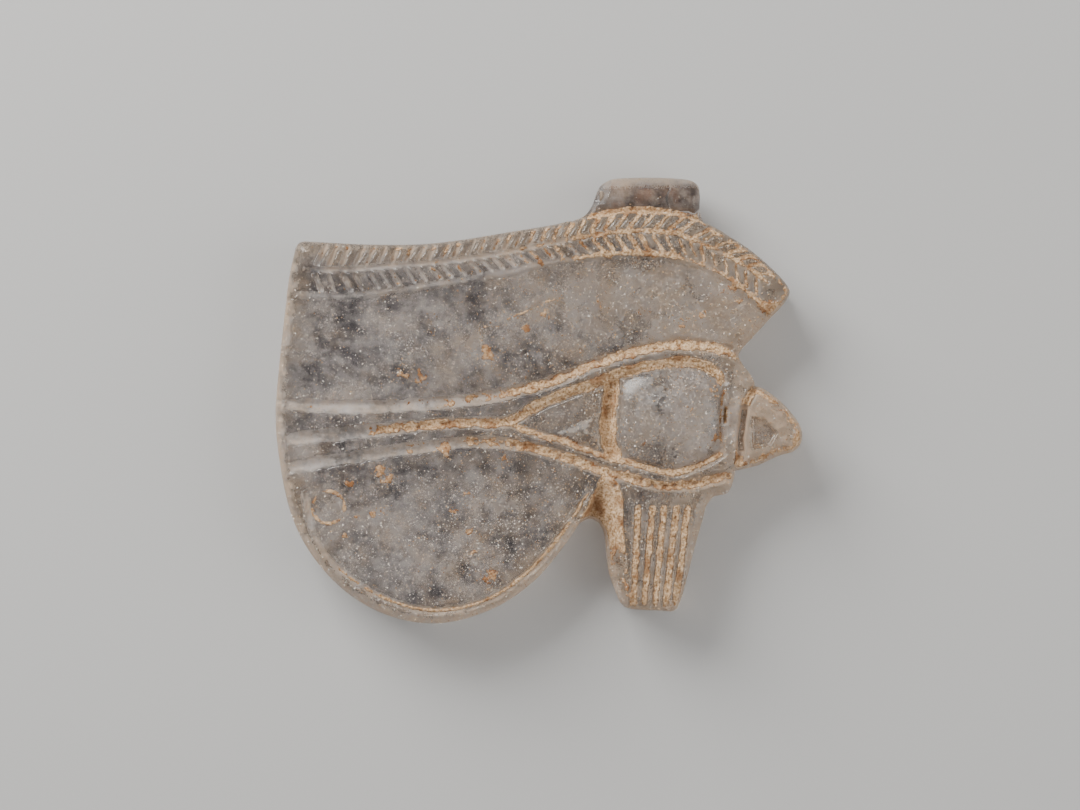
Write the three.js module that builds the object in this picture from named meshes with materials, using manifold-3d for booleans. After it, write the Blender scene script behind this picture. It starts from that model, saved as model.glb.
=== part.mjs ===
// A wedjat eye amulet carved from one piece of rock crystal, lying on its plain back.
// Millimetres. +X runs from the blunt left edge to the tear duct, +Y towards the brow and its
// suspension tube, +Z out of the carved front. The origin is under the middle of the amulet,
// on the surface it lies on.
import * as THREE from 'three';
import { mergeVertices } from 'three/addons/utils/BufferGeometryUtils.js';
import Module from 'manifold-3d';

const wasm = await Module();
wasm.setup();

// Overall sizes
const LENGTH = 40;
const THICKNESS = 5.4;
const FRONT_ROUND = 1.1;
const BACK_CHAMFER = 0.4;

// Suspension tube
const TUBE_RADIUS = 1.65;
const TUBE_DEPTH_RADIUS = 1.9;
const TUBE_LENGTH = 7.9;
const TUBE_END_ROUND = 0.7;
const BORE_RADIUS = 0.62;
const NECK_THICKNESS = 3.2;

// Carved lines: widths at the surface, depths below the surface they are cut in
const LID_GROOVE_WIDTH = 0.85;
const LID_GROOVE_DEPTH = 0.5;
const IRIS_GROOVE_WIDTH = 1.2;
const IRIS_GROOVE_DEPTH = 0.75;
const RIM_GROOVE_WIDTH = 0.95;
const RIM_GROOVE_DEPTH = 0.4;
const BROW_LINE_WIDTH = 0.8;
const BROW_LINE_DEPTH = 0.3;
const NOTCH_WIDTH = 0.42;
const NOTCH_DEPTH = 0.32;
const NOTCH_PITCH = 0.95;
const FLUTE_COUNT = 5;
const FLUTE_WIDTH = 0.6;
const FLUTE_DEPTH = 0.4;
const SLOT_WIDTH = 0.45;

// Levels of the broad areas, below or above the front face
const BROW_FIELD_DROP = 0.35;
const EYE_DROP = 0.35;
const EYEBALL_RADIUS = 3.9;
const EYEBALL_RISE = 0.9;
const DUCT_FIELD_DROP = 0.35;
const RECESS_DEPTH = 2.6;

// How finely curves are cut into straight steps, and how far cutters stand clear of the stone
const OUTLINE_STEP = 1.05;
const GROOVE_STEP = 1.3;
const FINE_STEP = 0.2;
const ROUND_STEPS = 3;
const ROUND_SIDES = 24;
const BALL_SIDES = 32;
const CLEAR = 1;

// The drawing's points are in hundredths of the length, counted from the middle of the amulet.
const at = (x, y) => new THREE.Vector2((x * LENGTH) / 100, (y * LENGTH) / 100);
const through = (...pairs) => pairs.map(([x, y]) => at(x, y));

// The outline, clockwise from its top left corner. Each stretch is a smooth curve, and the
// outline may turn sharply only where two of them meet.
const BROW_TOP = through(
  [-44.4, 30.1], [-32, 29.5], [-20.3, 29.7], [-4.1, 32.1], [6.3, 34], [19.1, 35.8],
  [31.3, 33.7], [41, 27.7], [46.6, 22.3], [47.7, 20.6],
);
const OUTLINE = [
  BROW_TOP,
  through([47.7, 20.6], [46.4, 18.2], [38.5, 9.7]),
  through([38.5, 9.7], [37.9, 8.5], [38.4, 7.1], [40.5, 4.2], [41, 2.6]),
  through([41, 2.6], [42.2, 2.4], [45.8, -0.3], [49.2, -4.2], [50, -6.8], [48.8, -9.4]),
  through([48.8, -9.4], [45.4, -10.6], [41.4, -12.4], [37.3, -13.4]),
  through([37.3, -13.4], [36, -16.8], [35, -18], [32.9, -18.6], [31.6, -20.3]),
  through([31.6, -20.3], [29.4, -28.5], [27.2, -36.9], [26.2, -39.6]),
  through([26.2, -39.6], [23.9, -40.1], [18.4, -39.7], [16.3, -39.4], [15.1, -38.3]),
  through([15.1, -38.3], [13.4, -33.1], [12.4, -25.4], [11.4, -23.4]),
  through([11.4, -23.4], [9.7, -22.6], [7.6, -23.5]),
  through(
    [7.6, -23.5], [5.3, -26.9], [-0.7, -34.1], [-8.8, -39.6], [-19.2, -42.45], [-29, -40.7],
    [-37.3, -35.8], [-43.6, -28.6], [-47, -21.6], [-49.3, -10.8], [-50, -2.3], [-49.3, 6.9],
    [-47.3, 23.5], [-46.1, 28.8],
  ),
  through([-46.1, 28.8], [-45.4, 29.8], [-44.4, 30.1]),
];

// The neck that carries the tube, with its hollow fillet on the left.
const NECK = [
  through([4.5, 33.4], [6.3, 34], [8.4, 34.8], [9.8, 36.4], [10.9, 38.6]),
  through([10.9, 38.6], [30.5, 38.6]),
  through([30.5, 38.6], [30.5, 36.4], [31.4, 33.6], [33.5, 32.6]),
  through([33.5, 32.6], [19, 31], [4.5, 33.4]),
];
const TUBE_TOP = at(20.7, 42.45);

// The lines of the brow: its spine between the two rows of notches, and its foot.
const BROW_SPINE = through(
  [-44.6, 24.7], [-35.7, 24.7], [-26.2, 25.5], [-17.5, 26.2], [-7.4, 27.7], [2.1, 29.6],
  [9.6, 31], [19.1, 32], [26.6, 31.1], [33.2, 28.5], [38.9, 25.3], [43.6, 21.9],
);
const BROW_FOOT = through(
  [-46, 20.1], [-35.7, 19.6], [-26.2, 20.8], [-17.5, 22.1], [-7.4, 23.8], [2.1, 26],
  [9.6, 27], [19.1, 27.5], [28.5, 26.2], [34.2, 23.8], [38.3, 20.9], [42.5, 17.2],
);

// The three lines that fan out to the left and close round the eye on the right.
const UPPER_LINE = through(
  [-48, -1.1], [-38.1, -1.3], [-26.2, -1.1], [-11.1, 0.3], [1.1, 3], [9.6, 6.4],
  [19.1, 9.3], [26.6, 10.4], [34.5, 9.4], [38.6, 7.6],
);
const MIDDLE_LINE = through(
  [-47.7, -7.4], [-34.5, -6.1], [-20.6, -4.7], [-9.2, -4.2], [-5.1, -4], [1.1, -0.3],
  [9.6, 2.7], [17.2, 5.3], [26.6, 7.2], [32.8, 5.4], [35.8, 0.9],
);
const LOWER_BRANCH = through(
  [-5.8, -4.4], [1.1, -7.5], [8.7, -10], [17.2, -11.8], [25.1, -13.5], [33.8, -10.8],
  [36, -9],
);
const LOWER_LINE = through(
  [-47.5, -13], [-35.7, -10.9], [-22.5, -8.9], [-11.1, -8], [-0.8, -9], [9.6, -12.1],
  [18.5, -15.6], [25, -16.6], [31.5, -15.6], [37.4, -13.8],
);
const IRIS_LEFT = through([13.9, 4], [13.4, -0.6], [13.1, -4.7], [13.4, -8.5], [14.7, -11.4]);
const IRIS_RIGHT = through([35.6, 2.5], [35, -0.5], [34.7, -4.7], [35.6, -9.5]);
const DUCT_LINE = through([41.5, 3], [39.8, 0.4], [38.9, -1.5], [38.2, -6], [38.2, -10.5]);
const DUCT_SLOT = through([39, -1.8], [38.4, -5], [38.1, -7.6], [38.4, -9.6]);
const LOBE_RIM = through(
  [-44.4, -15.5], [-43.8, -21.1], [-42.3, -26.4], [-36.3, -34], [-29.2, -38.6],
  [-19.6, -40], [-11.1, -37.9], [-3.6, -33.4], [1.7, -28.3], [5.8, -23.2], [8.9, -17.9],
  [10.6, -13.4],
);

// Areas cut down below the front face
const DUCT_FIELD = through([40.3, -2], [44, -3.5], [46.9, -6.6], [44, -8.4], [40.3, -10.4]);
const EYEBALL_CENTRE = at(24.2, -2.8);

// The recess between the lobe and the bar drops towards the notch of the outline and runs on
// down the bar's left edge. Each corner has its share of the recess's depth.
const RECESS = [
  { point: at(12.1, -13.6), share: 0.05 },
  { point: at(16, -15.6), share: 0.05 },
  { point: at(15.9, -22.6), share: 0.15 },
  { point: at(16.6, -30.2), share: 0.08 },
  { point: at(17.4, -38.6), share: 0 },
  { point: at(14.6, -41.5), share: 0.7 },
  { point: at(11.9, -33), share: 0.75 },
  { point: at(11.4, -26.5), share: 0.9 },
  { point: at(6, -26.5), share: 1 },
  { point: at(9.2, -19.5), share: 0.4 },
];

// The flutes of the bar fan out from its foot to its head.
const FLUTES_HEAD = { left: at(18.7, -19.6), right: at(28.6, -19.6) };
const FLUTES_FOOT = { left: at(17.7, -41.5), right: at(24.8, -41.5) };

// A smooth line through the points, cut into steps of about the given length.
function trace(points, step) {
  const curve = new THREE.CatmullRomCurve3(
    points.map((p) => new THREE.Vector3(p.x, p.y, 0)), false, 'centripetal',
  );
  const steps = Math.max(1, Math.round(curve.getLength() / step));
  return curve.getSpacedPoints(steps).map((p) => new THREE.Vector2(p.x, p.y));
}

// A closed loop from stretches that meet end to end, anticlockwise.
function loopOf(stretches, step) {
  const loop = stretches.flatMap((points) => trace(points, step).slice(0, -1));
  return THREE.ShapeUtils.isClockWise(loop) ? loop.reverse() : loop;
}

// A manifold solid from corner positions and triangles.
function solidFrom(positions, triangles) {
  const geometry = new THREE.BufferGeometry();
  geometry.setAttribute('position', new THREE.Float32BufferAttribute(positions, 3));
  geometry.setIndex(triangles);
  const merged = mergeVertices(geometry, 1e-4);
  const index = merged.index.array;
  const kept = [];
  for (let i = 0; i < index.length; i += 3) {
    const [a, b, c] = [index[i], index[i + 1], index[i + 2]];
    if (a !== b && b !== c && c !== a) kept.push(a, b, c);
  }
  return new wasm.Manifold(new wasm.Mesh({
    numProp: 3,
    vertProperties: merged.attributes.position.array,
    triVerts: new Uint32Array(kept),
  }));
}

// A three.js geometry as a manifold solid.
function solidOf(geometry) {
  geometry.deleteAttribute('normal');
  geometry.deleteAttribute('uv');
  const merged = mergeVertices(geometry, 1e-4);
  return solidFrom(Array.from(merged.attributes.position.array), Array.from(merged.index.array));
}

// Skins rings of equally many points, listed from the lowest to the highest, and caps the ends.
// Each ring is anticlockwise seen from above, as a list of Vector3.
function skin(rings) {
  const count = rings[0].length;
  const positions = rings.flatMap((ring) => ring.flatMap((p) => [p.x, p.y, p.z]));
  const triangles = [];
  for (let r = 0; r + 1 < rings.length; r += 1) {
    for (let i = 0; i < count; i += 1) {
      const a = r * count + i;
      const b = r * count + ((i + 1) % count);
      triangles.push(a, b, b + count, a, b + count, a + count);
    }
  }
  const cap = (ring, first, up) => {
    const flat = ring.map((p) => new THREE.Vector2(p.x, p.y));
    const kept = flat.map((p, i) => i).filter((i) => {
      const before = flat[(i + count - 1) % count];
      return flat[i].distanceTo(before) > 1e-4;
    });
    const faces = THREE.ShapeUtils.triangulateShape(kept.map((i) => flat[i]), []);
    faces.forEach(([a, b, c]) => {
      const [p, q, s] = [first + kept[a], first + kept[b], first + kept[c]];
      triangles.push(...(up ? [p, q, s] : [p, s, q]));
    });
  };
  cap(rings[0], 0, false);
  cap(rings[rings.length - 1], (rings.length - 1) * count, true);
  return solidFrom(positions, triangles);
}

// The loop moved inwards by a distance. Neighbours that would pass each other are merged.
function inset(loop, distance) {
  const count = loop.length;
  const moved = loop.map((p, i) => {
    const back = p.clone().sub(loop[(i + count - 1) % count]).normalize();
    const on = loop[(i + 1) % count].clone().sub(p).normalize();
    const inward = new THREE.Vector2(-back.y - on.y, back.x + on.x);
    const cosine = inward.length() / 2;
    const reach = distance / Math.max(cosine, 0.6);
    return inward.normalize().multiplyScalar(reach).add(p);
  });
  for (let pass = 0; pass < 6; pass += 1) {
    for (let i = 0; i < count; i += 1) {
      const j = (i + 1) % count;
      const was = loop[j].clone().sub(loop[i]);
      const is = moved[j].clone().sub(moved[i]);
      if (is.dot(was) <= 0 && is.length() > 0) {
        const middle = moved[i].clone().add(moved[j]).multiplyScalar(0.5);
        moved[i].copy(middle);
        moved[j].copy(middle);
      }
    }
  }
  return moved;
}

// A slab over the loop from one height to another, with a chamfer below and a round above.
function slab(loop, bottom, top, chamfer, round) {
  const ringAt = (distance, z) => (
    inset(loop, distance).map((p) => new THREE.Vector3(p.x, p.y, z))
  );
  const rings = [ringAt(chamfer, bottom), ringAt(0, bottom + chamfer)];
  for (let k = 0; k <= ROUND_STEPS; k += 1) {
    const turn = (k / ROUND_STEPS) * (Math.PI / 2);
    rings.push(ringAt(round * (1 - Math.cos(turn)), top - round * (1 - Math.sin(turn))));
  }
  return skin(rings);
}

// A straight-sided prism over a loop.
function prism(loop, bottom, top) {
  const ringAt = (z) => loop.map((p) => new THREE.Vector3(p.x, p.y, z));
  return skin([ringAt(bottom), ringAt(top)]);
}

// A cutter for a groove with sloping sides and a flat floor along a line. Its depth is counted
// from the given surface height, and it runs out to nothing at both ends unless told to run on.
function groove(points, width, depth, surface, runsOn = false) {
  const line = trace(points, GROOVE_STEP);
  const floorHalf = width * 0.25;
  const slope = (width / 2 - floorHalf) / depth;
  const last = line.length - 1;
  const sections = line.map((p, i) => {
    const on = line[Math.min(i + 1, last)].clone().sub(line[Math.max(i - 1, 0)]).normalize();
    const side = new THREE.Vector2(-on.y, on.x);
    const nearEnd = i === 0 || i === last;
    const deep = nearEnd && !runsOn ? depth * 0.1 : depth;
    const floor = surface - deep;
    const high = surface + CLEAR;
    const half = floorHalf + slope * (high - floor);
    return [[-half, high], [-floorHalf, floor], [floorHalf, floor], [half, high]].map(
      ([across, z]) => {
        const q = side.clone().multiplyScalar(across).add(p);
        return new THREE.Vector3(q.x, q.y, z);
      },
    );
  });
  return sweep(sections);
}

// Joins equal cross-sections along a line into one closed body.
function sweep(sections) {
  const corners = sections[0].length;
  const positions = sections.flatMap((section) => section.flatMap((p) => [p.x, p.y, p.z]));
  const triangles = [];
  for (let s = 0; s + 1 < sections.length; s += 1) {
    for (let i = 0; i < corners; i += 1) {
      const a = s * corners + i;
      const b = s * corners + ((i + 1) % corners);
      triangles.push(a, b + corners, b, a, a + corners, b + corners);
    }
  }
  const end = (sections.length - 1) * corners;
  for (let i = 1; i + 1 < corners; i += 1) {
    triangles.push(0, i, i + 1, end, end + i + 1, end + i);
  }
  const made = solidFrom(positions, triangles);
  return made.volume() < 0 ? solidFrom(positions, triangles.toReversed()) : made;
}

// A V-shaped notch cut between two points.
function notch(from, to, width, depth, surface) {
  const on = to.clone().sub(from).normalize();
  const side = new THREE.Vector2(-on.y, on.x);
  const high = surface + CLEAR;
  const half = (width / 2) * (1 + CLEAR / depth);
  return sweep([from, to].map((p) => [
    [-half, high], [0, surface - depth], [half, high],
  ].map(([across, z]) => {
    const q = side.clone().multiplyScalar(across).add(p);
    return new THREE.Vector3(q.x, q.y, z);
  })));
}

// A cutter over a patch whose floor slopes: each corner has its own share of the depth.
function slopingCutter(corners, depth, surface) {
  const flat = corners.map((c) => c.point);
  const ordered = THREE.ShapeUtils.isClockWise(flat) ? corners.toReversed() : corners;
  return skin([
    ordered.map((c) => new THREE.Vector3(c.point.x, c.point.y, surface - depth * c.share)),
    ordered.map((c) => new THREE.Vector3(c.point.x, c.point.y, surface + CLEAR)),
  ]);
}

const join = (solids) => solids.reduce((whole, piece) => whole.add(piece));
const cut = (solid, cutters) => cutters.reduce((left, cutter) => left.subtract(cutter), solid);

// The slab of the amulet, with its front edge rounded and its back edge eased.
function body() {
  return slab(loopOf(OUTLINE, OUTLINE_STEP), 0, THICKNESS, BACK_CHAMFER, FRONT_ROUND);
}

// The tube is an oval barrel along X behind the brow, with rounded ends.
const tubeX = TUBE_TOP.x;
const tubeY = TUBE_TOP.y - TUBE_RADIUS;
const tubeZ = THICKNESS / 2;

function tube() {
  const half = TUBE_LENGTH / 2;
  const profile = [new THREE.Vector2(0, -half)];
  for (const end of [-1, 1]) {
    for (let k = 0; k <= ROUND_STEPS; k += 1) {
      const turn = ((end < 0 ? k : ROUND_STEPS - k) / ROUND_STEPS) * (Math.PI / 2);
      profile.push(new THREE.Vector2(
        TUBE_RADIUS - TUBE_END_ROUND * (1 - Math.sin(turn)),
        end * (half - TUBE_END_ROUND * (1 - Math.cos(turn))),
      ));
    }
  }
  profile.push(new THREE.Vector2(0, half));
  const geometry = new THREE.LatheGeometry(profile, ROUND_SIDES);
  geometry.rotateZ(-Math.PI / 2);
  geometry.scale(1, 1, TUBE_DEPTH_RADIUS / TUBE_RADIUS);
  geometry.translate(tubeX, tubeY, tubeZ);
  return solidOf(geometry);
}

function neck() {
  const loop = loopOf(NECK, OUTLINE_STEP);
  return prism(loop, tubeZ - NECK_THICKNESS / 2, tubeZ + NECK_THICKNESS / 2);
}

function bore() {
  const geometry = new THREE.CylinderGeometry(
    BORE_RADIUS, BORE_RADIUS, TUBE_LENGTH + 2 * CLEAR, ROUND_SIDES,
  );
  geometry.rotateZ(Math.PI / 2);
  geometry.translate(tubeX, tubeY, tubeZ);
  return solidOf(geometry);
}

// The smooth field between the brow and the upper line, a little below the front face.
function browField() {
  const upper = trace(BROW_FOOT, GROOVE_STEP);
  const lower = trace(UPPER_LINE, GROOVE_STEP).reverse();
  const left = [at(-53, -1.1), at(-53, 20.1)];
  const right = [at(52, 17), at(52, 7)];
  return prism([...upper, ...right, ...lower, ...left].reverse(),
    THICKNESS - BROW_FIELD_DROP, THICKNESS + CLEAR);
}

// The opening of the eye between the lids, and the eyeball that fills its middle.
function eyeOpening() {
  const upper = trace(MIDDLE_LINE.slice(4), GROOVE_STEP);
  const lower = trace(LOWER_BRANCH, GROOVE_STEP).reverse();
  return prism([...upper, ...lower].reverse(), THICKNESS - EYE_DROP, THICKNESS + CLEAR);
}

function eyeball() {
  const geometry = new THREE.SphereGeometry(1, BALL_SIDES, BALL_SIDES / 2);
  geometry.rotateX(Math.PI / 2);
  geometry.scale(EYEBALL_RADIUS, EYEBALL_RADIUS, EYEBALL_RISE + EYE_DROP + FRONT_ROUND);
  geometry.translate(EYEBALL_CENTRE.x, EYEBALL_CENTRE.y, THICKNESS - EYE_DROP - FRONT_ROUND);
  return solidOf(geometry);
}

// Two rows of slanting notches, one on each side of the brow's spine, which lean the same way.
function browNotches() {
  const spine = new THREE.CatmullRomCurve3(
    BROW_SPINE.map((p) => new THREE.Vector3(p.x, p.y, 0)), false, 'centripetal',
  );
  const length = spine.getLength();
  const edge = trace(BROW_TOP, FINE_STEP);
  const foot = trace(BROW_FOOT, FINE_STEP);
  const nearest = (line, p) => line.reduce((best, q) => (
    q.distanceTo(p) < best.distanceTo(p) ? q : best
  ));
  const cutters = [];
  const lean = NOTCH_PITCH * 0.75;
  for (let s = NOTCH_PITCH; s + NOTCH_PITCH < length; s += NOTCH_PITCH) {
    const onSpine = spine.getPointAt(s / length);
    const further = spine.getPointAt((s + lean) / length);
    const start = new THREE.Vector2(onSpine.x, onSpine.y);
    const ahead = new THREE.Vector2(further.x, further.y);
    for (const [line, reach] of [[edge, 0.8], [foot, 0.68]]) {
      const end = nearest(line, ahead);
      cutters.push(notch(
        start.clone().lerp(end, 0.24), start.clone().lerp(end, reach),
        NOTCH_WIDTH, NOTCH_DEPTH, THICKNESS,
      ));
    }
  }
  return cutters;
}

function flutes() {
  return Array.from({ length: FLUTE_COUNT }, (unused, i) => {
    const share = FLUTE_COUNT > 1 ? i / (FLUTE_COUNT - 1) : 0;
    const head = FLUTES_HEAD.left.clone().lerp(FLUTES_HEAD.right, share);
    const foot = FLUTES_FOOT.left.clone().lerp(FLUTES_FOOT.right, share);
    return groove([head, foot], FLUTE_WIDTH, FLUTE_DEPTH, THICKNESS, true);
  });
}

// The narrow slot pierced between the eye and the tear duct.
function ductSlot() {
  const line = trace(DUCT_SLOT, GROOVE_STEP);
  const sideOf = (i) => {
    const on = line[Math.min(i + 1, line.length - 1)].clone().sub(line[Math.max(i - 1, 0)]);
    return new THREE.Vector2(-on.y, on.x).normalize().multiplyScalar(SLOT_WIDTH / 2);
  };
  const left = line.map((p, i) => p.clone().add(sideOf(i)));
  const right = line.map((p, i) => p.clone().sub(sideOf(i))).reverse();
  return prism([...left, ...right].reverse(), -CLEAR, THICKNESS + CLEAR);
}

function carvedLines() {
  const face = THICKNESS;
  const field = THICKNESS - BROW_FIELD_DROP;
  return [
    groove(BROW_SPINE, BROW_LINE_WIDTH, BROW_LINE_DEPTH, face),
    groove(BROW_FOOT, BROW_LINE_WIDTH, BROW_LINE_DEPTH, field),
    groove(UPPER_LINE, LID_GROOVE_WIDTH, LID_GROOVE_DEPTH, face),
    groove(MIDDLE_LINE, LID_GROOVE_WIDTH, LID_GROOVE_DEPTH, face),
    groove(LOWER_BRANCH, LID_GROOVE_WIDTH, LID_GROOVE_DEPTH, face),
    groove(LOWER_LINE, LID_GROOVE_WIDTH, LID_GROOVE_DEPTH, face),
    groove(LOBE_RIM, RIM_GROOVE_WIDTH, RIM_GROOVE_DEPTH, face),
    groove(IRIS_LEFT, IRIS_GROOVE_WIDTH, IRIS_GROOVE_DEPTH, face),
    groove(IRIS_RIGHT, LID_GROOVE_WIDTH, LID_GROOVE_DEPTH, face),
    groove(DUCT_LINE, LID_GROOVE_WIDTH, LID_GROOVE_DEPTH, face),
  ];
}

function amulet() {
  const opening = eyeOpening();
  const ball = eyeball().intersect(opening);
  const stone = cut(body(), [browField(), opening]).add(ball);
  const hung = join([stone, neck(), tube()]);
  return cut(hung, [
    ...carvedLines(),
    ...browNotches(),
    ...flutes(),
    prism(DUCT_FIELD.toReversed(), THICKNESS - DUCT_FIELD_DROP, THICKNESS + CLEAR),
    slopingCutter(RECESS, RECESS_DEPTH, THICKNESS),
    ductSlot(),
    bore(),
  ]);
}

// A manifold solid as a three.js geometry.
function geometryOf(solid) {
  const mesh = solid.getMesh();
  const positions = new Float32Array(mesh.numVert * 3);
  for (let i = 0; i < mesh.numVert; i += 1) {
    positions.set(mesh.vertProperties.subarray(i * mesh.numProp, i * mesh.numProp + 3), i * 3);
  }
  const geometry = new THREE.BufferGeometry();
  geometry.setAttribute('position', new THREE.BufferAttribute(positions, 3));
  geometry.setIndex(new THREE.BufferAttribute(mesh.triVerts, 1));
  geometry.computeVertexNormals();
  return geometry;
}

const rockCrystal = new THREE.MeshStandardMaterial({
  color: 0xb3a99f, roughness: 0.25, metalness: 0, transparent: true, opacity: 0.55,
});

const wedjatEye = new THREE.Mesh(geometryOf(amulet()), rockCrystal);
wedjatEye.name = 'wedjat_eye';

const part = new THREE.Group();
part.add(wedjatEye);

export default part;
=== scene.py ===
# %% [markdown]
# # A wedjat eye amulet of rock crystal
# The real object is one small stone, ground and drilled from clear quartz, that has lain in the
# ground. Its fields are still polished, its cut lines are frosted, and soil is caked in them. The
# imported CAD solid gives the length, and the outline and the lines here are scaled to it. This script
# carves a finer copy of that solid, gives it a see-through stone, and lays the soil, the dust and the
# flaws on and in it.

# %% Load the fixed frame
import math
from collections import namedtuple

import bpy
import numpy as np
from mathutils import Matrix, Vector, geometry


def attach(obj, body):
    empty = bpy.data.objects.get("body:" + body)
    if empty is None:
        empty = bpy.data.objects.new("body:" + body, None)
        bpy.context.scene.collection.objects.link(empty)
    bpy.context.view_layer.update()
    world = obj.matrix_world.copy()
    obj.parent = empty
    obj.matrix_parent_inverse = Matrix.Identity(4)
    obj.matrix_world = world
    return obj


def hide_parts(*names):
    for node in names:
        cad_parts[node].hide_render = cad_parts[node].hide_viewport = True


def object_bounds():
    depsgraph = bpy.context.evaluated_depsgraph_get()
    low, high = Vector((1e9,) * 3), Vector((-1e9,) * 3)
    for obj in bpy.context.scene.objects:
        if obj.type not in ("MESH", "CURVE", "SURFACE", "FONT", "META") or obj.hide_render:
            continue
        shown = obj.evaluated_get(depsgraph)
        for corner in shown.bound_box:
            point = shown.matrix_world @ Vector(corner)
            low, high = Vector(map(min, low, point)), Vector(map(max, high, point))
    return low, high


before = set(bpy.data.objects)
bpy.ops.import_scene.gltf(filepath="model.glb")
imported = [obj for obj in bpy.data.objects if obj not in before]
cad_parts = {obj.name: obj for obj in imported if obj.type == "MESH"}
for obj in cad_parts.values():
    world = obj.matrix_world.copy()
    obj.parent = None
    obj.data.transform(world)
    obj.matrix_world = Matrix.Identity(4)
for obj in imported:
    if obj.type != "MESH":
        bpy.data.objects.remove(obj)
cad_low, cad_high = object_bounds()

NODE = "wedjat_eye"
MM = 0.001
print("CAD box in mm", [round(v / MM, 2) for v in (*cad_low, *cad_high)])

# %% [markdown]
# ## The sizes of the stone
# Everything is drawn in millimetres and turned into metres when a mesh is made. The length comes
# from the frame. The drawing is kept as hundredths of that length, counted from the middle of the
# amulet, so that one list of shares serves any size of stone.

# %% Sizes
LENGTH = (cad_high[0] - cad_low[0]) / MM
THICKNESS = 5.4
FRONT_ROUND = 1.1
BACK_CHAMFER = 0.4
BACK_STEP = 0.6
WALL_ROWS = 5

TUBE_RADIUS = 1.65
TUBE_DEPTH_RADIUS = 1.9
TUBE_END_ROUND = 0.6
MOUTH_STEEPNESS = 3.0
NECK_HALF_THICKNESS = 1.5
BORE_RADIUS = 0.62
SLOT_WIDTH = 0.42

BROW_FIELD_DROP = 0.35
EYE_DROP = 0.35
EYEBALL_RISE = 0.82
RECESS_DEPTH = 2.6

SEED = 7


def at(x, y):
    """A place given in hundredths of the length, in millimetres."""
    return np.array([x, y], float) * LENGTH / 100


def mm_of(share):
    """Hundredths of the length, in millimetres."""
    return share * LENGTH / 100


def through(*pairs):
    """The points of a line, given in hundredths of the length."""
    return np.array([at(x, y) for x, y in pairs])


# %% [markdown]
# ## Smooth lines through a few points
# A carver draws a line through a handful of places. A centripetal Catmull-Rom curve does the same:
# it passes through every point, and it doesn't loop where they crowd. Curve objects could do it too,
# but plain arrays are needed below to measure how far each spot of the stone is from each line.

# %% Smooth lines
def smooth_line(points, step=0.25):
    padded = np.vstack([2 * points[0] - points[1], points, 2 * points[-1] - points[-2]])
    t = np.linspace(0, 1, 24, endpoint=False)[:, None]
    pieces = []
    for p0, p1, p2, p3 in zip(padded[:-3], padded[1:-2], padded[2:-1], padded[3:]):
        d0, d1, d2 = (math.sqrt(math.dist(a, b)) for a, b in ((p0, p1), (p1, p2), (p2, p3)))
        m1 = d1 * ((p1 - p0) / d0 - (p2 - p0) / (d0 + d1) + (p2 - p1) / d1)
        m2 = d1 * ((p2 - p1) / d1 - (p3 - p1) / (d1 + d2) + (p3 - p2) / d2)
        bend = p1 + m1 * t + (3 * (p2 - p1) - 2 * m1 - m2) * t**2 + (2 * (p1 - p2) + m1 + m2) * t**3
        pieces.append(bend)
    fine = np.vstack([*pieces, points[-1:]])
    run = np.concatenate([[0], np.cumsum(np.hypot(*np.diff(fine, axis=0).T))])
    stops = np.linspace(0, run[-1], max(2, round(run[-1] / step) + 1))
    return np.column_stack([np.interp(stops, run, fine[:, k]) for k in (0, 1)])


def nearest(line, spots):
    """For each spot, its distance from the line and how far along the line the nearest place is."""
    (ax, ay), (bx, by) = line[:-1].T, np.diff(line, axis=0).T
    square = np.maximum(bx**2 + by**2, 1e-12)
    run = np.concatenate([[0], np.cumsum(np.sqrt(square))])
    gaps, places = np.empty(len(spots)), np.empty(len(spots))
    chunk = max(1, 300000 // len(ax))
    for first in range(0, len(spots), chunk):
        part = slice(first, first + chunk)
        x, y = spots[part, :1] - ax, spots[part, 1:] - ay
        share = np.clip((x * bx + y * by) / square, 0, 1)
        gap = (x - share * bx)**2 + (y - share * by)**2
        best = gap.argmin(1)
        rows = np.arange(len(best))
        gaps[part] = np.sqrt(gap[rows, best])
        places[part] = run[best] + share[rows, best] * np.sqrt(square[best])
    return gaps, places, run[-1]


# %% [markdown]
# ## The outline
# The outline is a chain of smooth stretches that may turn sharply only where two of them meet: the
# blunt left edge, the brow with its tube, the brow's tip, the tear duct, the fluted bar and the lobe.

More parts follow.
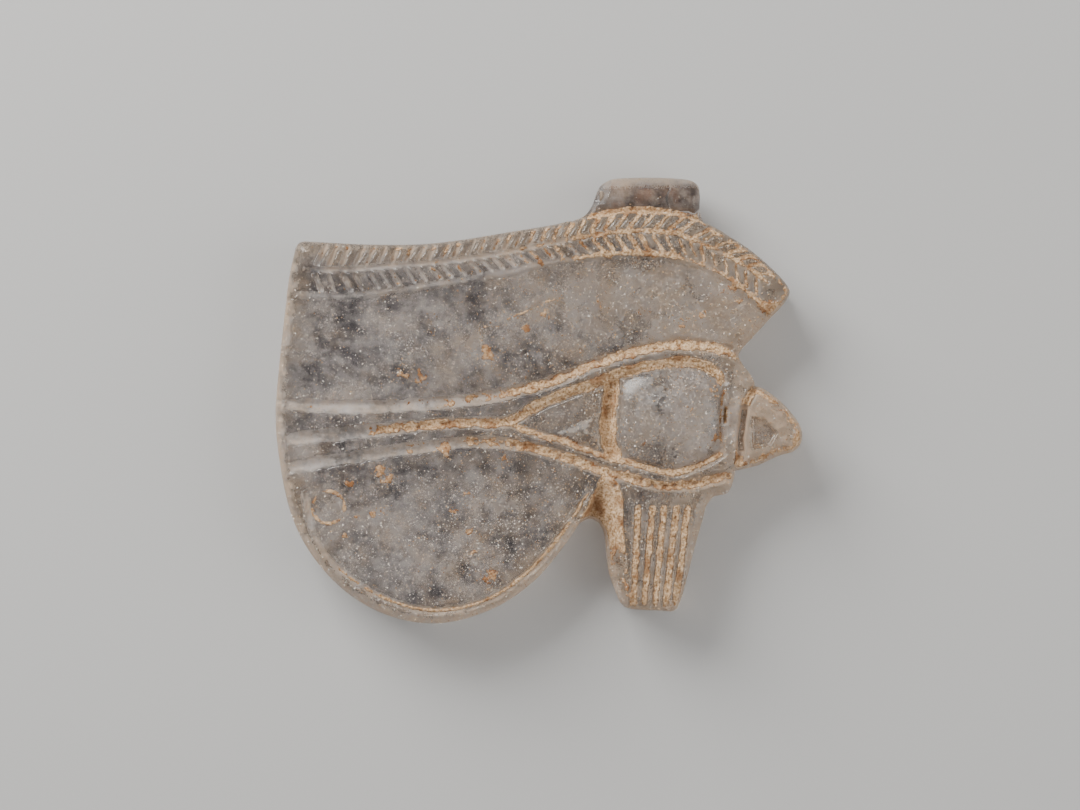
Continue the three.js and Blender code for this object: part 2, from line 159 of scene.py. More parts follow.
# %% Outline
BROW_TOP = through((-44.4, 30.1), (-32, 29.5), (-20.3, 29.7), (-4.1, 32.1), (6.3, 34), (19.1, 35.8),
                   (31.3, 33.7), (41, 27.7), (46.6, 22.3), (47.6, 20.6))
STRETCHES = [
    through((-44.4, 30.1), (-32, 29.5), (-20.3, 29.7), (-4.1, 32.1), (4.5, 33.6), (6.9, 34.3)),
    through((6.9, 34.3), (8.6, 35), (9.9, 36.6), (11.2, 40), (12, 41.2), (13.6, 41.9), (16.3, 42.25),
            (20.7, 42.4), (25.5, 42.2), (29, 41.6), (30.2, 40.6), (30.5, 39.4), (30.5, 36.2)),
    through((30.5, 36.2), (31.1, 34.4), (32.6, 33)),
    through((32.6, 33), (36.5, 30.8), (41, 27.7), (46.3, 22.7), (47.5, 20.8), (47.4, 19.8), (46.4, 18.2)),
    through((46.4, 18.2), (42.6, 14.1), (38.5, 9.7)),
    through((38.5, 9.7), (37.9, 8.5), (38.4, 7.1), (40.5, 4.2), (41, 2.6)),
    through((41, 2.6), (42.2, 2.3), (45.8, -0.3), (49.1, -4.2), (49.9, -6.5), (49.4, -8.7), (48, -9.9)),
    through((48, -9.9), (45.4, -10.6), (41.4, -12.4), (37.3, -13.4)),
    through((37.3, -13.4), (36.4, -16.6), (35.6, -17.7), (33, -18.4), (31.7, -20.1)),
    through((31.7, -20.1), (29.4, -28.5), (27.2, -36.9), (26.2, -39.5)),
    through((26.2, -39.5), (25.4, -40), (22.4, -39.9), (18.4, -39.7), (16.3, -39.3), (15.3, -38.3)),
    through((15.3, -38.3), (13.4, -33.1), (12.4, -25.4), (11.4, -23.4)),
    through((11.4, -23.4), (9.7, -22.7), (7.7, -23.4)),
    through((7.7, -23.4), (5.3, -26.9), (-0.7, -34.1), (-8.8, -39.6), (-19.2, -42.35), (-29, -40.7),
            (-37.3, -35.8), (-43.6, -28.6), (-47, -21.6), (-49.3, -10.8), (-49.95, -2.3), (-49.3, 6.9),
            (-47.3, 23.5), (-46.2, 28.7)),
    through((-46.2, 28.7), (-45.5, 29.8), (-44.4, 30.1)),
]


def outline(step):
    loop = np.vstack([smooth_line(points, step)[:-1] for points in STRETCHES])
    return loop[::-1]


ring = outline(0.14)
closed_ring = np.vstack([ring, ring[:1]])
print("outline points", len(ring), "box", ring.min(0).round(2), ring.max(0).round(2))

# %% [markdown]
# ## Noise for hand work and wear
# Nothing on a hand-ground stone is even. A small value noise, with a fixed seed, gives undulations,
# ragged edges and patchiness to the shapes, where a shader's noise could only paint them.

# %% Noise
def noise(spots, size, seed, octaves=3):
    """Smooth noise from -1 to 1, with features of about the given size in millimetres."""
    total, weight, strength = np.zeros(len(spots)), 0.0, 1.0
    for octave in range(octaves):
        lattice = np.random.default_rng(SEED * 1000 + seed * 10 + octave).uniform(-1, 1, (256, 256))
        cell = spots / (size / 2**octave) + 64
        base = np.floor(cell).astype(int)
        part = cell - base
        part = part * part * (3 - 2 * part)
        (i, j), (u, v) = (base % 256).T, part.T
        i2, j2 = (i + 1) % 256, (j + 1) % 256
        total += strength * ((lattice[i, j] * (1 - u) + lattice[i2, j] * u) * (1 - v)
                             + (lattice[i, j2] * (1 - u) + lattice[i2, j2] * u) * v)
        weight += strength
        strength *= 0.55
    return total / weight


def ease(value, low, high):
    """0 below low, 1 above high, and a smooth rise between."""
    t = np.clip((value - low) / (high - low), 0, 1)
    return t * t * (3 - 2 * t)


def rise(value, low, high):
    """The same between two places given in hundredths of the length."""
    return ease(value, mm_of(low), mm_of(high))


# %% [markdown]
# ## The carved lines
# Each line is cut with a wheel or a drill and abrasive, so it is a furrow with a rounded floor that
# runs out at its ends. Width and depth are in millimetres. The notches of the brow and the flutes of
# the bar are the same furrow, repeated by a loop.

# %% Carved lines
BROW_SPINE = through((-44.6, 24.7), (-35.7, 24.7), (-26.2, 25.5), (-17.5, 26.2), (-7.4, 27.7),
                     (2.1, 29.6), (9.6, 31), (19.1, 32), (26.6, 31.1), (33.2, 28.5), (38.9, 25.3),
                     (43.6, 21.9))
BROW_FOOT = through((-47.5, 20), (-35.7, 19.6), (-26.2, 20.8), (-17.5, 22.1), (-7.4, 23.8), (2.1, 26),
                    (9.6, 27), (19.1, 27.5), (28.5, 26.2), (34.2, 23.8), (38.3, 20.9), (43.5, 16.6))
UPPER_LINE = through((-48, -0.9), (-38.1, -1.3), (-26.2, -1.1), (-11.1, 0.3), (1.1, 3), (9.6, 6.4),
                     (19.1, 9.3), (26.6, 10.4), (34.5, 9.4), (38.6, 7.6))
MIDDLE_LINE = through((-47.7, -7.4), (-34.5, -6.1), (-20.6, -4.7), (-9.2, -4.2), (-5.1, -4),
                      (-1.1, -1.4), (3, 0.5), (9.6, 2.9), (17.2, 5.5), (24, 7), (29.5, 7), (33.6, 5),
                      (35.1, 2.6))
FORK = 4
LOWER_BRANCH = through((-5.8, -4.2), (-1.3, -6.2), (5.4, -8.1), (12.3, -10.7), (17.4, -11.9),
                       (21.1, -12.9), (25.1, -13.8), (29.6, -12.5), (33, -11.1), (35.3, -9.4))
LOWER_LINE = through((-47.5, -12.8), (-35.7, -10.9), (-22.5, -8.9), (-11.1, -7.9), (-3.2, -8.7),
                     (5.4, -10.9), (11.9, -13.3), (16.4, -14.5), (22, -16), (28, -16), (33.8, -14.7),
                     (37.6, -13.6))
IRIS_LEFT = through((14.2, 4.3), (13.4, -0.6), (13.1, -4.7), (13.4, -8.5), (14.9, -11.6))
IRIS_RIGHT = through((35.1, 2.4), (34.5, -0.5), (34.3, -4.7), (34.6, -9.2))
IRIS_SLOT = through((35.4, -1), (35.2, -4.6))
DUCT_GROOVE = through((41.3, 2.8), (39.6, 0.4), (38.8, -1.8), (38.2, -6), (37.9, -10.2), (37.6, -12.6))
DUCT_SLOT = through((38.9, -1.8), (38.5, -5), (38.1, -7.6), (38.3, -9.6))
LOBE_RIM = through((-44, -15.2), (-43.6, -21.1), (-42, -26.4), (-38.7, -31), (-29.6, -37.2),
                   (-20.2, -39.7), (-11.1, -38.2), (-3.8, -33.9), (1.6, -28.6), (5.6, -23.4),
                   (8.4, -18.9), (10.8, -14.6))
NOTCH_PITCH = 0.95
NOTCH_WIDTH = 0.5
NOTCH_DEPTH = 0.3
FLUTES = [((18.8, -19.6), (17.8, -39.4)), ((21.5, -19.6), (19.8, -39.4)),
          ((23.7, -19.6), (21.8, -39.4)), ((26.1, -19.6), (23.8, -39.4)),
          ((28.2, -19.6), (25.7, -39.4))]
FLUTE_WIDTH = 0.74
FLUTE_DEPTH = 0.34

# name: points, width, depth, length over which it runs out
LINES = {
    "brow_spine": (BROW_SPINE, 0.62, 0.24, 1.0),
    "brow_foot": (BROW_FOOT, 1.0, 0.2, 0.8),
    "upper": (UPPER_LINE, 1.15, 0.5, 1.8),
    "middle": (MIDDLE_LINE, 1.15, 0.52, 1.6),
    "lower_branch": (LOWER_BRANCH, 0.85, 0.42, 0.6),
    "lower": (LOWER_LINE, 1.1, 0.5, 1.8),
    "iris_left": (IRIS_LEFT, 1.5, 0.8, 0.5),
    "iris_right": (IRIS_RIGHT, 0.42, 0.26, 0.9),
    "iris_slot": (IRIS_SLOT, 0.4, 1.0, 0.4),
    "duct": (DUCT_GROOVE, 0.8, 0.6, 0.5),
    "rim": (LOBE_RIM, 0.8, 0.22, 2.5),
}


def notch_strokes():
    """Two rows of slanting strokes, one on each side of the brow's spine."""
    spine, edge, foot = (smooth_line(p, 0.1) for p in (BROW_SPINE, BROW_TOP, BROW_FOOT))
    hand = np.random.default_rng(SEED)
    strokes = []
    for s in np.arange(NOTCH_PITCH, len(spine) * 0.1 - NOTCH_PITCH * 0.6, NOTCH_PITCH):
        for line, far in ((edge, 0.93), (foot, 0.86)):
            slip = hand.uniform(-0.1, 0.1)
            lean = NOTCH_PITCH * (hand.uniform(0.65, 0.95) + 0.7 * s / (0.1 * len(spine)))
            start = spine[min(int((s + slip) / 0.1), len(spine) - 1)]
            ahead = spine[min(int((s + slip + lean) / 0.1), len(spine) - 1)]
            end = line[np.hypot(*(line - ahead).T).argmin()]
            strokes.append((start + 0.1 * (end - start), start + far * (end - start),
                            hand.uniform(0.8, 1.15)))
    return strokes


STROKES = notch_strokes()
print("notches", len(STROKES))


def furrow(gap, place, total, width, depth, runout):
    """How deep a furrow cuts at each spot, with a rounded floor, running out at its ends."""
    across = np.clip(2 * gap / width, 0, 1)
    along = np.clip(np.minimum(place, total - place) / runout, 0, 1)
    return depth * (1 - across**2)**1.15 * np.sqrt(along)


# %% [markdown]
# ## The height of the front at every spot
# The front is a relief, so one height for each spot of the plan is enough to carve it: a face with a
# rounded rim, lower fields, a domed eyeball, a recess by the bar, and all furrows cut out of that.
# The same function also says how freshly cut a spot is, which later frosts the stone there.

# %% Front height
TUBE_MIDDLE = mm_of(20.7)
TUBE_Y = mm_of(42.45) - TUBE_RADIUS
TUBE_Z = THICKNESS / 2
EYEBALL = at(24.2, -3.1)
EYEBALL_HALF = (4.0, 3.75)
DUCT_FACET = through((39.9, -3), (42.5, -3.3), (45.3, -6.2), (43.8, -8.7), (40.1, -9.6), (39.9, -3))
RECESS_INNER = through((12.1, -13.6), (14.4, -15), (15.8, -18), (16, -23), (16.6, -30.2), (17.5, -39))
CANTHUS = through((11.2, -2.3), (12, -9.3), (1.8, -6.8))

y_brow = smooth_line(BROW_TOP, 0.2)
y_foot = smooth_line(BROW_FOOT, 0.2)
y_upper = smooth_line(UPPER_LINE, 0.2)
y_lid = smooth_line(MIDDLE_LINE[FORK:], 0.2)
y_low_lid = smooth_line(LOWER_BRANCH, 0.2)
y_duct = smooth_line(DUCT_GROOVE, 0.2)
y_iris_right = smooth_line(IRIS_RIGHT, 0.2)
inner_edge = smooth_line(RECESS_INNER, 0.2)
lobe_edge = smooth_line(through((12.1, -13.6), (9.6, -18.6), (7.7, -22.6), (5.5, -26.8)))
RECESS_PLAN = through((12.1, -13.6), (18, -13.6), (19, -43), (5.5, -43), (5.5, -26.8), (7.7, -22.6),
                      (9.6, -18.6))
tube_left = through((12.4, 41.9), (11.2, 40), (9.9, 36.6), (8.6, 35))
TUBE_REACH = mm_of(4), mm_of(35)


def level(line, x):
    return np.interp(x, line[:, 0], line[:, 1])


def level_across(line, y):
    """The x of a line that runs down the stone, at the given y."""
    return np.interp(-y, -line[:, 1], line[:, 0])


def inside(polygon, spots):
    """True where a spot lies inside a closed polygon."""
    x, y = spots.T
    hit = np.zeros(len(spots), bool)
    for (x1, y1), (x2, y2) in zip(polygon, np.roll(polygon, -1, axis=0)):
        crosses = (y1 > y) != (y2 > y)
        with np.errstate(divide="ignore", invalid="ignore"):
            hit ^= crosses & (x < (x2 - x1) * (y - y1) / (y2 - y1) + x1)
    return hit


def tube_half_height(spots, rim):
    """Half the thickness of the tube and its neck, measured from their middle plane."""
    x, y = spots.T
    barrel = np.sqrt(np.clip(1 - ((y - TUBE_Y) / TUBE_RADIUS)**2, 0, 1))
    from_end = np.minimum(x - level_across(tube_left, y), mm_of(30.5) - x)
    rounding = 1 - 0.4 * (1 - np.clip(from_end / TUBE_END_ROUND, 0, 1))**2
    neck = NECK_HALF_THICKNESS * np.clip(rim / 0.9, 0, 1)**0.5 * (y < TUBE_Y)
    return np.maximum(TUBE_DEPTH_RADIUS * barrel * rounding, neck)


Carving = namedtuple("Carving", "height cut line rim beyond recess corner duct facet")


def front(spots):
    """What the carver left at each spot: the height, how deep it is cut and by which line, how far
    it is from the outline and beyond the brow's top, and whether it is in one of the small forms."""
    x, y = spots.T
    rim, _, _ = nearest(closed_ring, spots)
    beyond = y - level(y_brow, x)
    by_tube = (x > TUBE_REACH[0]) & (x < TUBE_REACH[1]) & (beyond > -2.5)
    roll = np.clip(1 - np.where(by_tube, np.maximum(-beyond, 0), rim) / FRONT_ROUND, 0, 1)
    face = THICKNESS - FRONT_ROUND * (1 - np.sqrt(np.clip(1 - roll**2, 0, 1)))

    field = ease(level(y_foot, x) - y, 0.0, 0.5) * ease(y - level(y_upper, x), -0.1, 0.35)
    eye = (ease(level(y_lid, x) - y, 0.0, 0.35) * ease(y - level(y_low_lid, x), 0.0, 0.35)
           * rise(x, -4.5, 0) * ease(mm_of(35.6) - x, 0, 0.3))
    off = np.abs(spots - EYEBALL) / EYEBALL_HALF
    ball = (off**2.6).sum(1)**(1 / 2.6)
    face = face - BROW_FIELD_DROP * field - EYE_DROP * eye
    face = face + (EYEBALL_RISE + EYE_DROP) * np.clip(1 - ball**2.4, 0, 1)**0.75 * (eye > 0.02)
    corner, facet = inside(CANTHUS, spots), inside(DUCT_FACET, spots)
    corner_edge, facet_edge = (nearest(np.vstack([p, p[:1]]), spots)[0] for p in (CANTHUS, DUCT_FACET))
    face = face + 0.35 * corner * np.clip(corner_edge / 0.9, 0, 1) - 0.3 * facet * ease(facet_edge, 0, 0.25)

    recess = (x < level_across(inner_edge, y)) & inside(RECESS_PLAN, spots)
    slope = nearest(inner_edge, spots)[0] * 1.15
    steep = 0.35 + 0.65 * rise(-y, 13, 27)
    down = np.minimum(np.minimum(slope, RECESS_DEPTH) * steep, nearest(lobe_edge, spots)[0] * 3.5)
    face = face - np.where(recess, down, 0)

    cut, line = np.zeros(len(spots)), np.full(len(spots), -1)
    for k, (points, width, depth, runout) in enumerate(LINES.values()):
        gap, place, total = nearest(smooth_line(points, 0.3), spots)
        ragged = 1 + 0.22 * noise(spots, 0.8, 20 + k)
        deep = furrow(gap, place, total, width * ragged, depth * (1 + 0.2 * noise(spots, 1.6, 35)), runout)
        line = np.where(deep > cut, k, line)
        cut = np.maximum(cut, deep)
    bite = np.zeros(len(spots))
    for start, end, strength in STROKES:
        near = np.hypot(*(spots - (start + end) / 2).T) < 1.6
        gap, place, total = nearest(np.array([start, end]), spots[near])
        width = NOTCH_WIDTH * strength * (1 + 0.25 * noise(spots[near], 0.35, 36))
        bite[near] = np.maximum(bite[near], furrow(gap, place, total, width, NOTCH_DEPTH * strength, 0.25))
    for head, foot in FLUTES:
        gap, place, total = nearest(np.array([at(*head), at(*foot)]), spots)
        width = FLUTE_WIDTH * (1 + 0.18 * noise(spots, 0.6, 37))
        bite = np.maximum(bite, furrow(gap, place, total, width, FLUTE_DEPTH, 0.5))
    line = np.where(bite > cut, len(LINES), line)
    cut = np.maximum(cut, bite)

    height = face - cut * (1 + 0.28 * noise(spots * (0.2, 1), 0.34, 38))
    half = tube_half_height(spots, rim)
    neck = np.where(beyond > -0.5, TUBE_Z + 0.9 * half, 0)
    from_mouth = np.maximum(x - level_across(tube_left, y), 0)
    mouth_face = TUBE_Z - 1.45 * BORE_RADIUS + MOUTH_STEEPNESS * from_mouth
    on_end = (beyond > 0.9) & (x < TUBE_MIDDLE)
    tube = TUBE_Z + np.where(on_end, np.minimum(half, mouth_face - TUBE_Z), half)
    tube = np.where(beyond > 0, tube, np.maximum(height, neck))
    duct = (x > level_across(y_duct, y)) & (x > mm_of(37)) & (y < mm_of(3))
    return Carving(np.where(by_tube, tube, height), cut, line, rim, beyond, recess, corner, duct, facet)


# %% [markdown]
# ## Where the mesh needs points
# A piece may hold 200,000 triangles, so they go where the carving is. The outline gives a few rows of
# points that follow the rounded rim, and a triangular grid fills the rest: fine near a furrow, coarse
# in the plain polished fields. A constrained Delaunay triangulation joins them up.

# %% Plan of the front
FINE = 0.108
COARSE = 0.21
ROLL_ANGLES = (15, 27, 39, 51, 63, 76, 90)
ROLL_ROWS = [FRONT_ROUND * (1 - math.cos(math.radians(angle))) for angle in ROLL_ANGLES]

PATCHES = [  # soil on the fields: x and y in hundredths of the length, radius in mm, strength
    (-29.9, -13.6, 0.55, 0.95), (-28.6, -14.4, 0.6, 0.95), (-29.6, -15.3, 0.3, 0.9),
    (-35.6, -15.7, 0.4, 0.85), (-16.2, -20.8, 0.5, 0.6), (-29.6, -21.5, 0.4, 0.7),
    (-31.4, -21.5, 0.35, 0.65), (-34.5, -22.1, 0.25, 0.7), (-36.8, -25.7, 0.3, 0.7),
    (-12, -28.9, 0.5, 0.7), (-13, -24.9, 0.4, 0.6), (-13.6, -17.6, 0.35, 0.6),
    (-9.1, -33.4, 0.7, 0.7), (7.2, -33.4, 0.4, 0.6), (-18, -9.6, 0.6, 0.75), (-6.7, -10.9, 0.6, 0.6),
    (-25.8, 5.4, 0.7, 0.6), (-22.6, 4.3, 0.7, 0.55), (-9.6, 8.9, 0.75, 0.85), (-20.2, 12.8, 0.3, 0.7),
    (8.1, 9.2, 0.35, 0.8), (14.9, 12.6, 0.4, 0.6), (26.8, 14.5, 0.5, 0.6), (30.8, 16.4, 0.5, 0.65),
    (19.1, 16.5, 0.4, 0.55), (11.5, 18.2, 0.5, 0.5), (-2.3, 13.5, 0.5, 0.55), (0.9, 16, 0.6, 0.5),
    (35.5, 20.5, 0.8, 0.5), (37.4, 18.2, 0.8, 0.55), (40, 15.5, 0.8, 0.55), (43.2, 17.6, 0.7, 0.55),
    (19.4, -8.2, 0.5, 0.5), (28.3, -1.7, 0.4, 0.45), (33.1, 1.8, 0.6, 0.5), (33.3, -7.3, 0.5, 0.5),
]
HAZE = [  # dull places: x and y in hundredths of the length, radius in mm
    (-35.7, 0.9, 1.5), (-42, -10, 1.8), (-44, 12, 1.8), (-26, 14, 1.2), (-17, 16, 1.0), (-14, 11, 1.3),
    (-2, 19.5, 2.2), (-7, 16, 1.2), (22, 3, 2.0), (17, 5, 1.2), (26, -2, 1.2), (29, 17, 2.0),
    (36, 19, 2.4), (32, 22, 1.5), (17, -6, 1.2), (20, 0, 2.4), (24, 20, 2.2), (10, 21, 1.8),
    (44, 20, 1.6), (28, -8, 1.4), (42, 17, 1.8), (-20, -31, 2.6), (-12, -30, 1.8), (-8, -20, 1.8),
    (-28, -26, 1.6), (-39, -21, 1.3), (8, 14, 1.3), (15, 20, 1.2), (2, 12, 1.0), (24, 24, 1.0),
    (25, -4, 2.2), (19, 1, 1.4), (28, 1, 1.2),
]
RING_MARK = at(-39.7, -20.3)
RING_RADIUS = 1.2
CRACK = through((-11.5, 13), (-9, 14.6), (-6.3, 15.1), (-2.3, 16.8), (1.5, 18.6), (4, 19.2))


def hex_grid(step, low, high):
    """Rows of points over a box, each row shifted by half a step, for near even triangles."""
    rows = []
    for k, y in enumerate(np.arange(low[1], high[1], step * math.sqrt(0.75))):
        x = np.arange(low[0] + (k % 2) * step / 2, high[0], step)
        rows.append(np.column_stack([x, np.full(len(x), y)]))
    return np.vstack(rows)


back_on, forward_on = ring - np.roll(ring, 1, axis=0), np.roll(ring, -1, axis=0) - ring
inward = np.column_stack([-(back_on + forward_on)[:, 1], (back_on + forward_on)[:, 0]])
inward /= np.hypot(*inward.T)[:, None]


def rim_rows(offsets):
    """Rows of points inside the outline, each at its own distance from it."""
    rows = []
    for offset in offsets:
        row = ring + inward * offset
        rim, _, _ = nearest(closed_ring, row)
        rows.append(row[rim > 0.97 * offset])
    return np.vstack(rows)


def triangulate(spots, edge_count):
    """Triangles between the spots, inside the loop that the first edge_count spots make."""
    loop = [list(range(edge_count))]
    made = geometry.delaunay_2d_cdt([Vector(s) for s in spots], [], loop, 1, 1e-7)
    return np.array([tuple(v) for v in made[0]]), np.array([tuple(f) for f in made[2]])


def detail(spots):
    """True near the carving, where the grid has to be fine."""
    near = np.zeros(len(spots), bool)
    for points, _, _, _ in LINES.values():
        near |= nearest(smooth_line(points, 0.5), spots)[0] < 0.85
    x, y = spots.T
    bar = (x > mm_of(14.5)) & (x < mm_of(31)) & (y < mm_of(-15))
    recess = (x > mm_of(5)) & (x < mm_of(17)) & (y < mm_of(-12))
    near |= (y > level(y_foot, x) - 0.3) | bar | recess | (x > mm_of(36))
    for px, py, radius, _ in PATCHES:
        near |= np.hypot(*(spots - at(px, py)).T) < 1.5 * radius
    near |= np.abs(np.hypot(*(spots - RING_MARK).T) - RING_RADIUS) < 0.3
    return near | (nearest(CRACK, spots)[0] < 0.5)


low, high = ring.min(0), ring.max(0)
fine, coarse = hex_grid(FINE, low, high), hex_grid(COARSE, low, high)
fine = fine[inside(ring, fine)]
coarse = coarse[inside(ring, coarse)]
fine, coarse = fine[detail(fine)], coarse[~detail(coarse)]
grid = np.vstack([fine, coarse])
grid = grid[nearest(closed_ring, grid)[0] > 0.2]
spots, faces = triangulate(np.vstack([ring, rim_rows(ROLL_ROWS), grid]), len(ring))
print("front points", len(spots), "front triangles", len(faces))

# %% [markdown]
# ## The stone as one closed mesh
# The front sheet, a plain back sheet and a wall between their edges close the stone. The back isn't
# seen in the reference and is kept plain. The bore and the pierced slot can't be heights over the
# plan, so they are drilled afterwards, as on the real stone.

# %% Stone mesh
def mesh_object(name, points_mm, triangles):
    mesh = bpy.data.meshes.new(name)
    mesh.from_pydata((np.asarray(points_mm) * MM).tolist(), [], np.asarray(triangles).tolist())
    mesh.validate()
    mesh.update()
    piece = bpy.data.objects.new(name, mesh)
    bpy.context.scene.collection.objects.link(piece)
    return piece


def back_height(spots):
    """The height of the back: flat with an eased edge, and round under the tube."""
    x, y = spots.T
    rim, _, _ = nearest(closed_ring, spots)
    beyond = y - level(y_brow, x)
    by_tube = (x > TUBE_REACH[0]) & (x < TUBE_REACH[1])
    from_edge = np.where(by_tube & (np.abs(beyond) < 1.2) & (beyond <= 0), -beyond, rim)
    chamfer = BACK_CHAMFER * np.clip(1 - from_edge / BACK_CHAMFER, 0, 1)
    return np.where(by_tube & (beyond > 0), TUBE_Z - tube_half_height(spots, rim), chamfer)


carved = front(spots)
wave = 0.018 * noise(spots, 2.6, 1) + 0.008 * noise(spots, 0.9, 2)
height = carved.height + wave * ease(carved.rim, 0.1, 1.5)
edge = len(ring)

back_grid = hex_grid(BACK_STEP, low, high)
back_grid = back_grid[inside(ring, back_grid)]
back_grid = back_grid[nearest(closed_ring, back_grid)[0] > 0.5]
back_spots, back_faces = triangulate(np.vstack([ring, rim_rows([0.2, 0.42]), back_grid]), edge)
back_z = back_height(back_spots)


def close_stone():
    """The front, the back and a worn wall between their edges, as one mesh."""
    top = np.column_stack([spots, height])
    bottom = np.column_stack([back_spots, back_z])
    run = np.cumsum(np.hypot(*forward_on.T))
    rows = []
    for k in range(1, WALL_ROWS):
        share = k / WALL_ROWS
        z = top[:edge, 2] * (1 - share) + bottom[:edge, 2] * share
        worn = 0.05 + 0.07 * noise(np.column_stack([run, z * 2]), 1.6, 5)
        rows.append(np.column_stack([ring + inward * (worn * math.sin(math.pi * share))[:, None], z]))
    points_mm = np.vstack([top, bottom, *rows])
    first = [0] + [len(top) + len(bottom) + k * edge for k in range(WALL_ROWS - 1)] + [len(top)]
    here, then = np.arange(edge), np.roll(np.arange(edge), -1)
    walls = [np.column_stack([c, d, b]) for a, c in zip(first[:-1], first[1:])
             for c, d, b in ((c + here, c + then, a + then), (c + here, a + then, a + here))]
    back = back_faces[:, ::-1] + len(top)
    return mesh_object("carved_crystal", points_mm, np.vstack([faces, back, *walls]))


stone = close_stone()
print("stone triangles", len(stone.data.polygons))

# %% [markdown]
# ## The bore and the pierced slot
# Both are drilled with closed cutters and the Boolean modifier. The result is read back as a plain
# mesh, so that nothing is left live on the piece.

# %% Drilled holes
def baked(piece):
    """The evaluated shape of a piece as its own plain mesh, with no modifier left."""
    mesh = bpy.data.meshes.new_from_object(piece.evaluated_get(bpy.context.evaluated_depsgraph_get()))
    piece.modifiers.clear()
    piece.data = mesh
    mesh.materials.clear()
    return piece


def prism_walls(n):
    """The side triangles of a prism whose second ring of n points follows the first."""
    return [f for k in range(n)
            for f in ((k, (k + 1) % n, n + (k + 1) % n), (k, n + (k + 1) % n, n + k))]


def swept_prism(name, line, width, low_z, high_z):
    """An upright cutter that follows a line of the plan."""
    on = np.gradient(line, axis=0)
    side = np.column_stack([-on[:, 1], on[:, 0]])
    side *= width / 2 / np.hypot(*side.T)[:, None]
    loop = np.vstack([line + side, (line - side)[::-1]])[::-1]
    n = len(loop)
    points_mm = np.vstack([np.column_stack([loop, np.full(n, z)]) for z in (low_z, high_z)])
    _, cap = triangulate(loop, n)
    return mesh_object(name, points_mm, np.vstack([cap[:, ::-1], cap + n, prism_walls(n)]))


def bore_circle(radius, sides):
    """The y and z of points around the bore. The radius may be one number or one for each point."""
    turns = np.linspace(0, 2 * math.pi, sides, endpoint=False)
    return np.column_stack([TUBE_Y + radius * np.cos(turns), TUBE_Z + radius * np.sin(turns)])


def tube_cutter(name, radius, length, sides=40):
    """A round cutter along the tube."""
    ends = (TUBE_MIDDLE - length / 2, TUBE_MIDDLE + length / 2)
    circle = bore_circle(radius, sides)
    points_mm = np.vstack([np.column_stack([np.full(sides, x), circle]) for x in ends])
    caps = [f for k in range(1, sides - 1) for f in ((0, k + 1, k), (sides, sides + k, sides + k + 1))]
    return mesh_object(name, points_mm, np.array(prism_walls(sides) + caps))


def drill(piece, cutters):
    """Take the cutters out of the piece, and then take the cutters away."""
    for cutter in cutters:
        step = piece.modifiers.new("drill", "BOOLEAN")
        step.operation, step.solver, step.object = "DIFFERENCE", "MANIFOLD", cutter
    baked(piece)
    for cutter in cutters:
        bpy.data.objects.remove(cutter)


slot_line = smooth_line(DUCT_SLOT, 0.3)
drill(stone, [tube_cutter("bore_cutter", BORE_RADIUS, 14),
              swept_prism("slot_cutter", slot_line, SLOT_WIDTH, -1, 8)])
print("drilled stone triangles", len(stone.data.polygons))

# %% [markdown]
# ## How worn each spot is
# Three measures are stored on the mesh for the finishes to read: frost, where the wheel has left the
# surface ground and white, stain, where iron in the soil has coloured the stone tan, and haze, where
# the polish has gone milky. They are point attributes, so they follow the carving and go with the
# mesh. Haze is a soft one: it is stronger on the right and in the places listed above.

# %% Wear attributes
def store(piece, name, values):
    layer = piece.data.attributes.new(name, "FLOAT", "POINT")
    layer.data.foreach_set("value", np.asarray(values, np.float32))


def points_of(piece):
    flat = np.empty(len(piece.data.vertices) * 3)
    piece.data.vertices.foreach_get("co", flat)
    return flat.reshape(-1, 3) / MM


def on_collar(spots, here):
    """How far a spot is on the strip between the eyeball and the tear duct, from 0 to 1."""
    x, y = spots.T
    beside = ease(x - level_across(y_iris_right, y), 0, 1.1) * (here.beyond < -7) * ~here.duct
    return beside * ease(mm_of(9) - y, 0, 1) * ease(y - mm_of(-14), 0, 1)


def haze_at(spots):
    """How dull a polished spot has gone, from 0 to 1, in soft and cloudy patches."""
    dull = np.zeros(len(spots))
    for px, py, radius in HAZE:
        gap = np.hypot(*(spots - at(px, py)).T) / (1.5 * radius)
        dull = np.maximum(dull, ease(1.15 - gap, 0, 1.1))
    right = rise(spots[:, 0], -8, 30)
    cloudy = dull * (0.8 + (1.5 - 0.5 * right) * noise(spots, 0.8, 62)) + 0.02 + 0.3 * right
    cloudy += 1.1 * noise(spots, 1.8, 64, 4)
    cloudy += 0.7 * right * ease(noise(spots, 1.3, 65), 0.05, 0.4) - 0.15 * right
    return np.clip(cloudy, 0, 1)


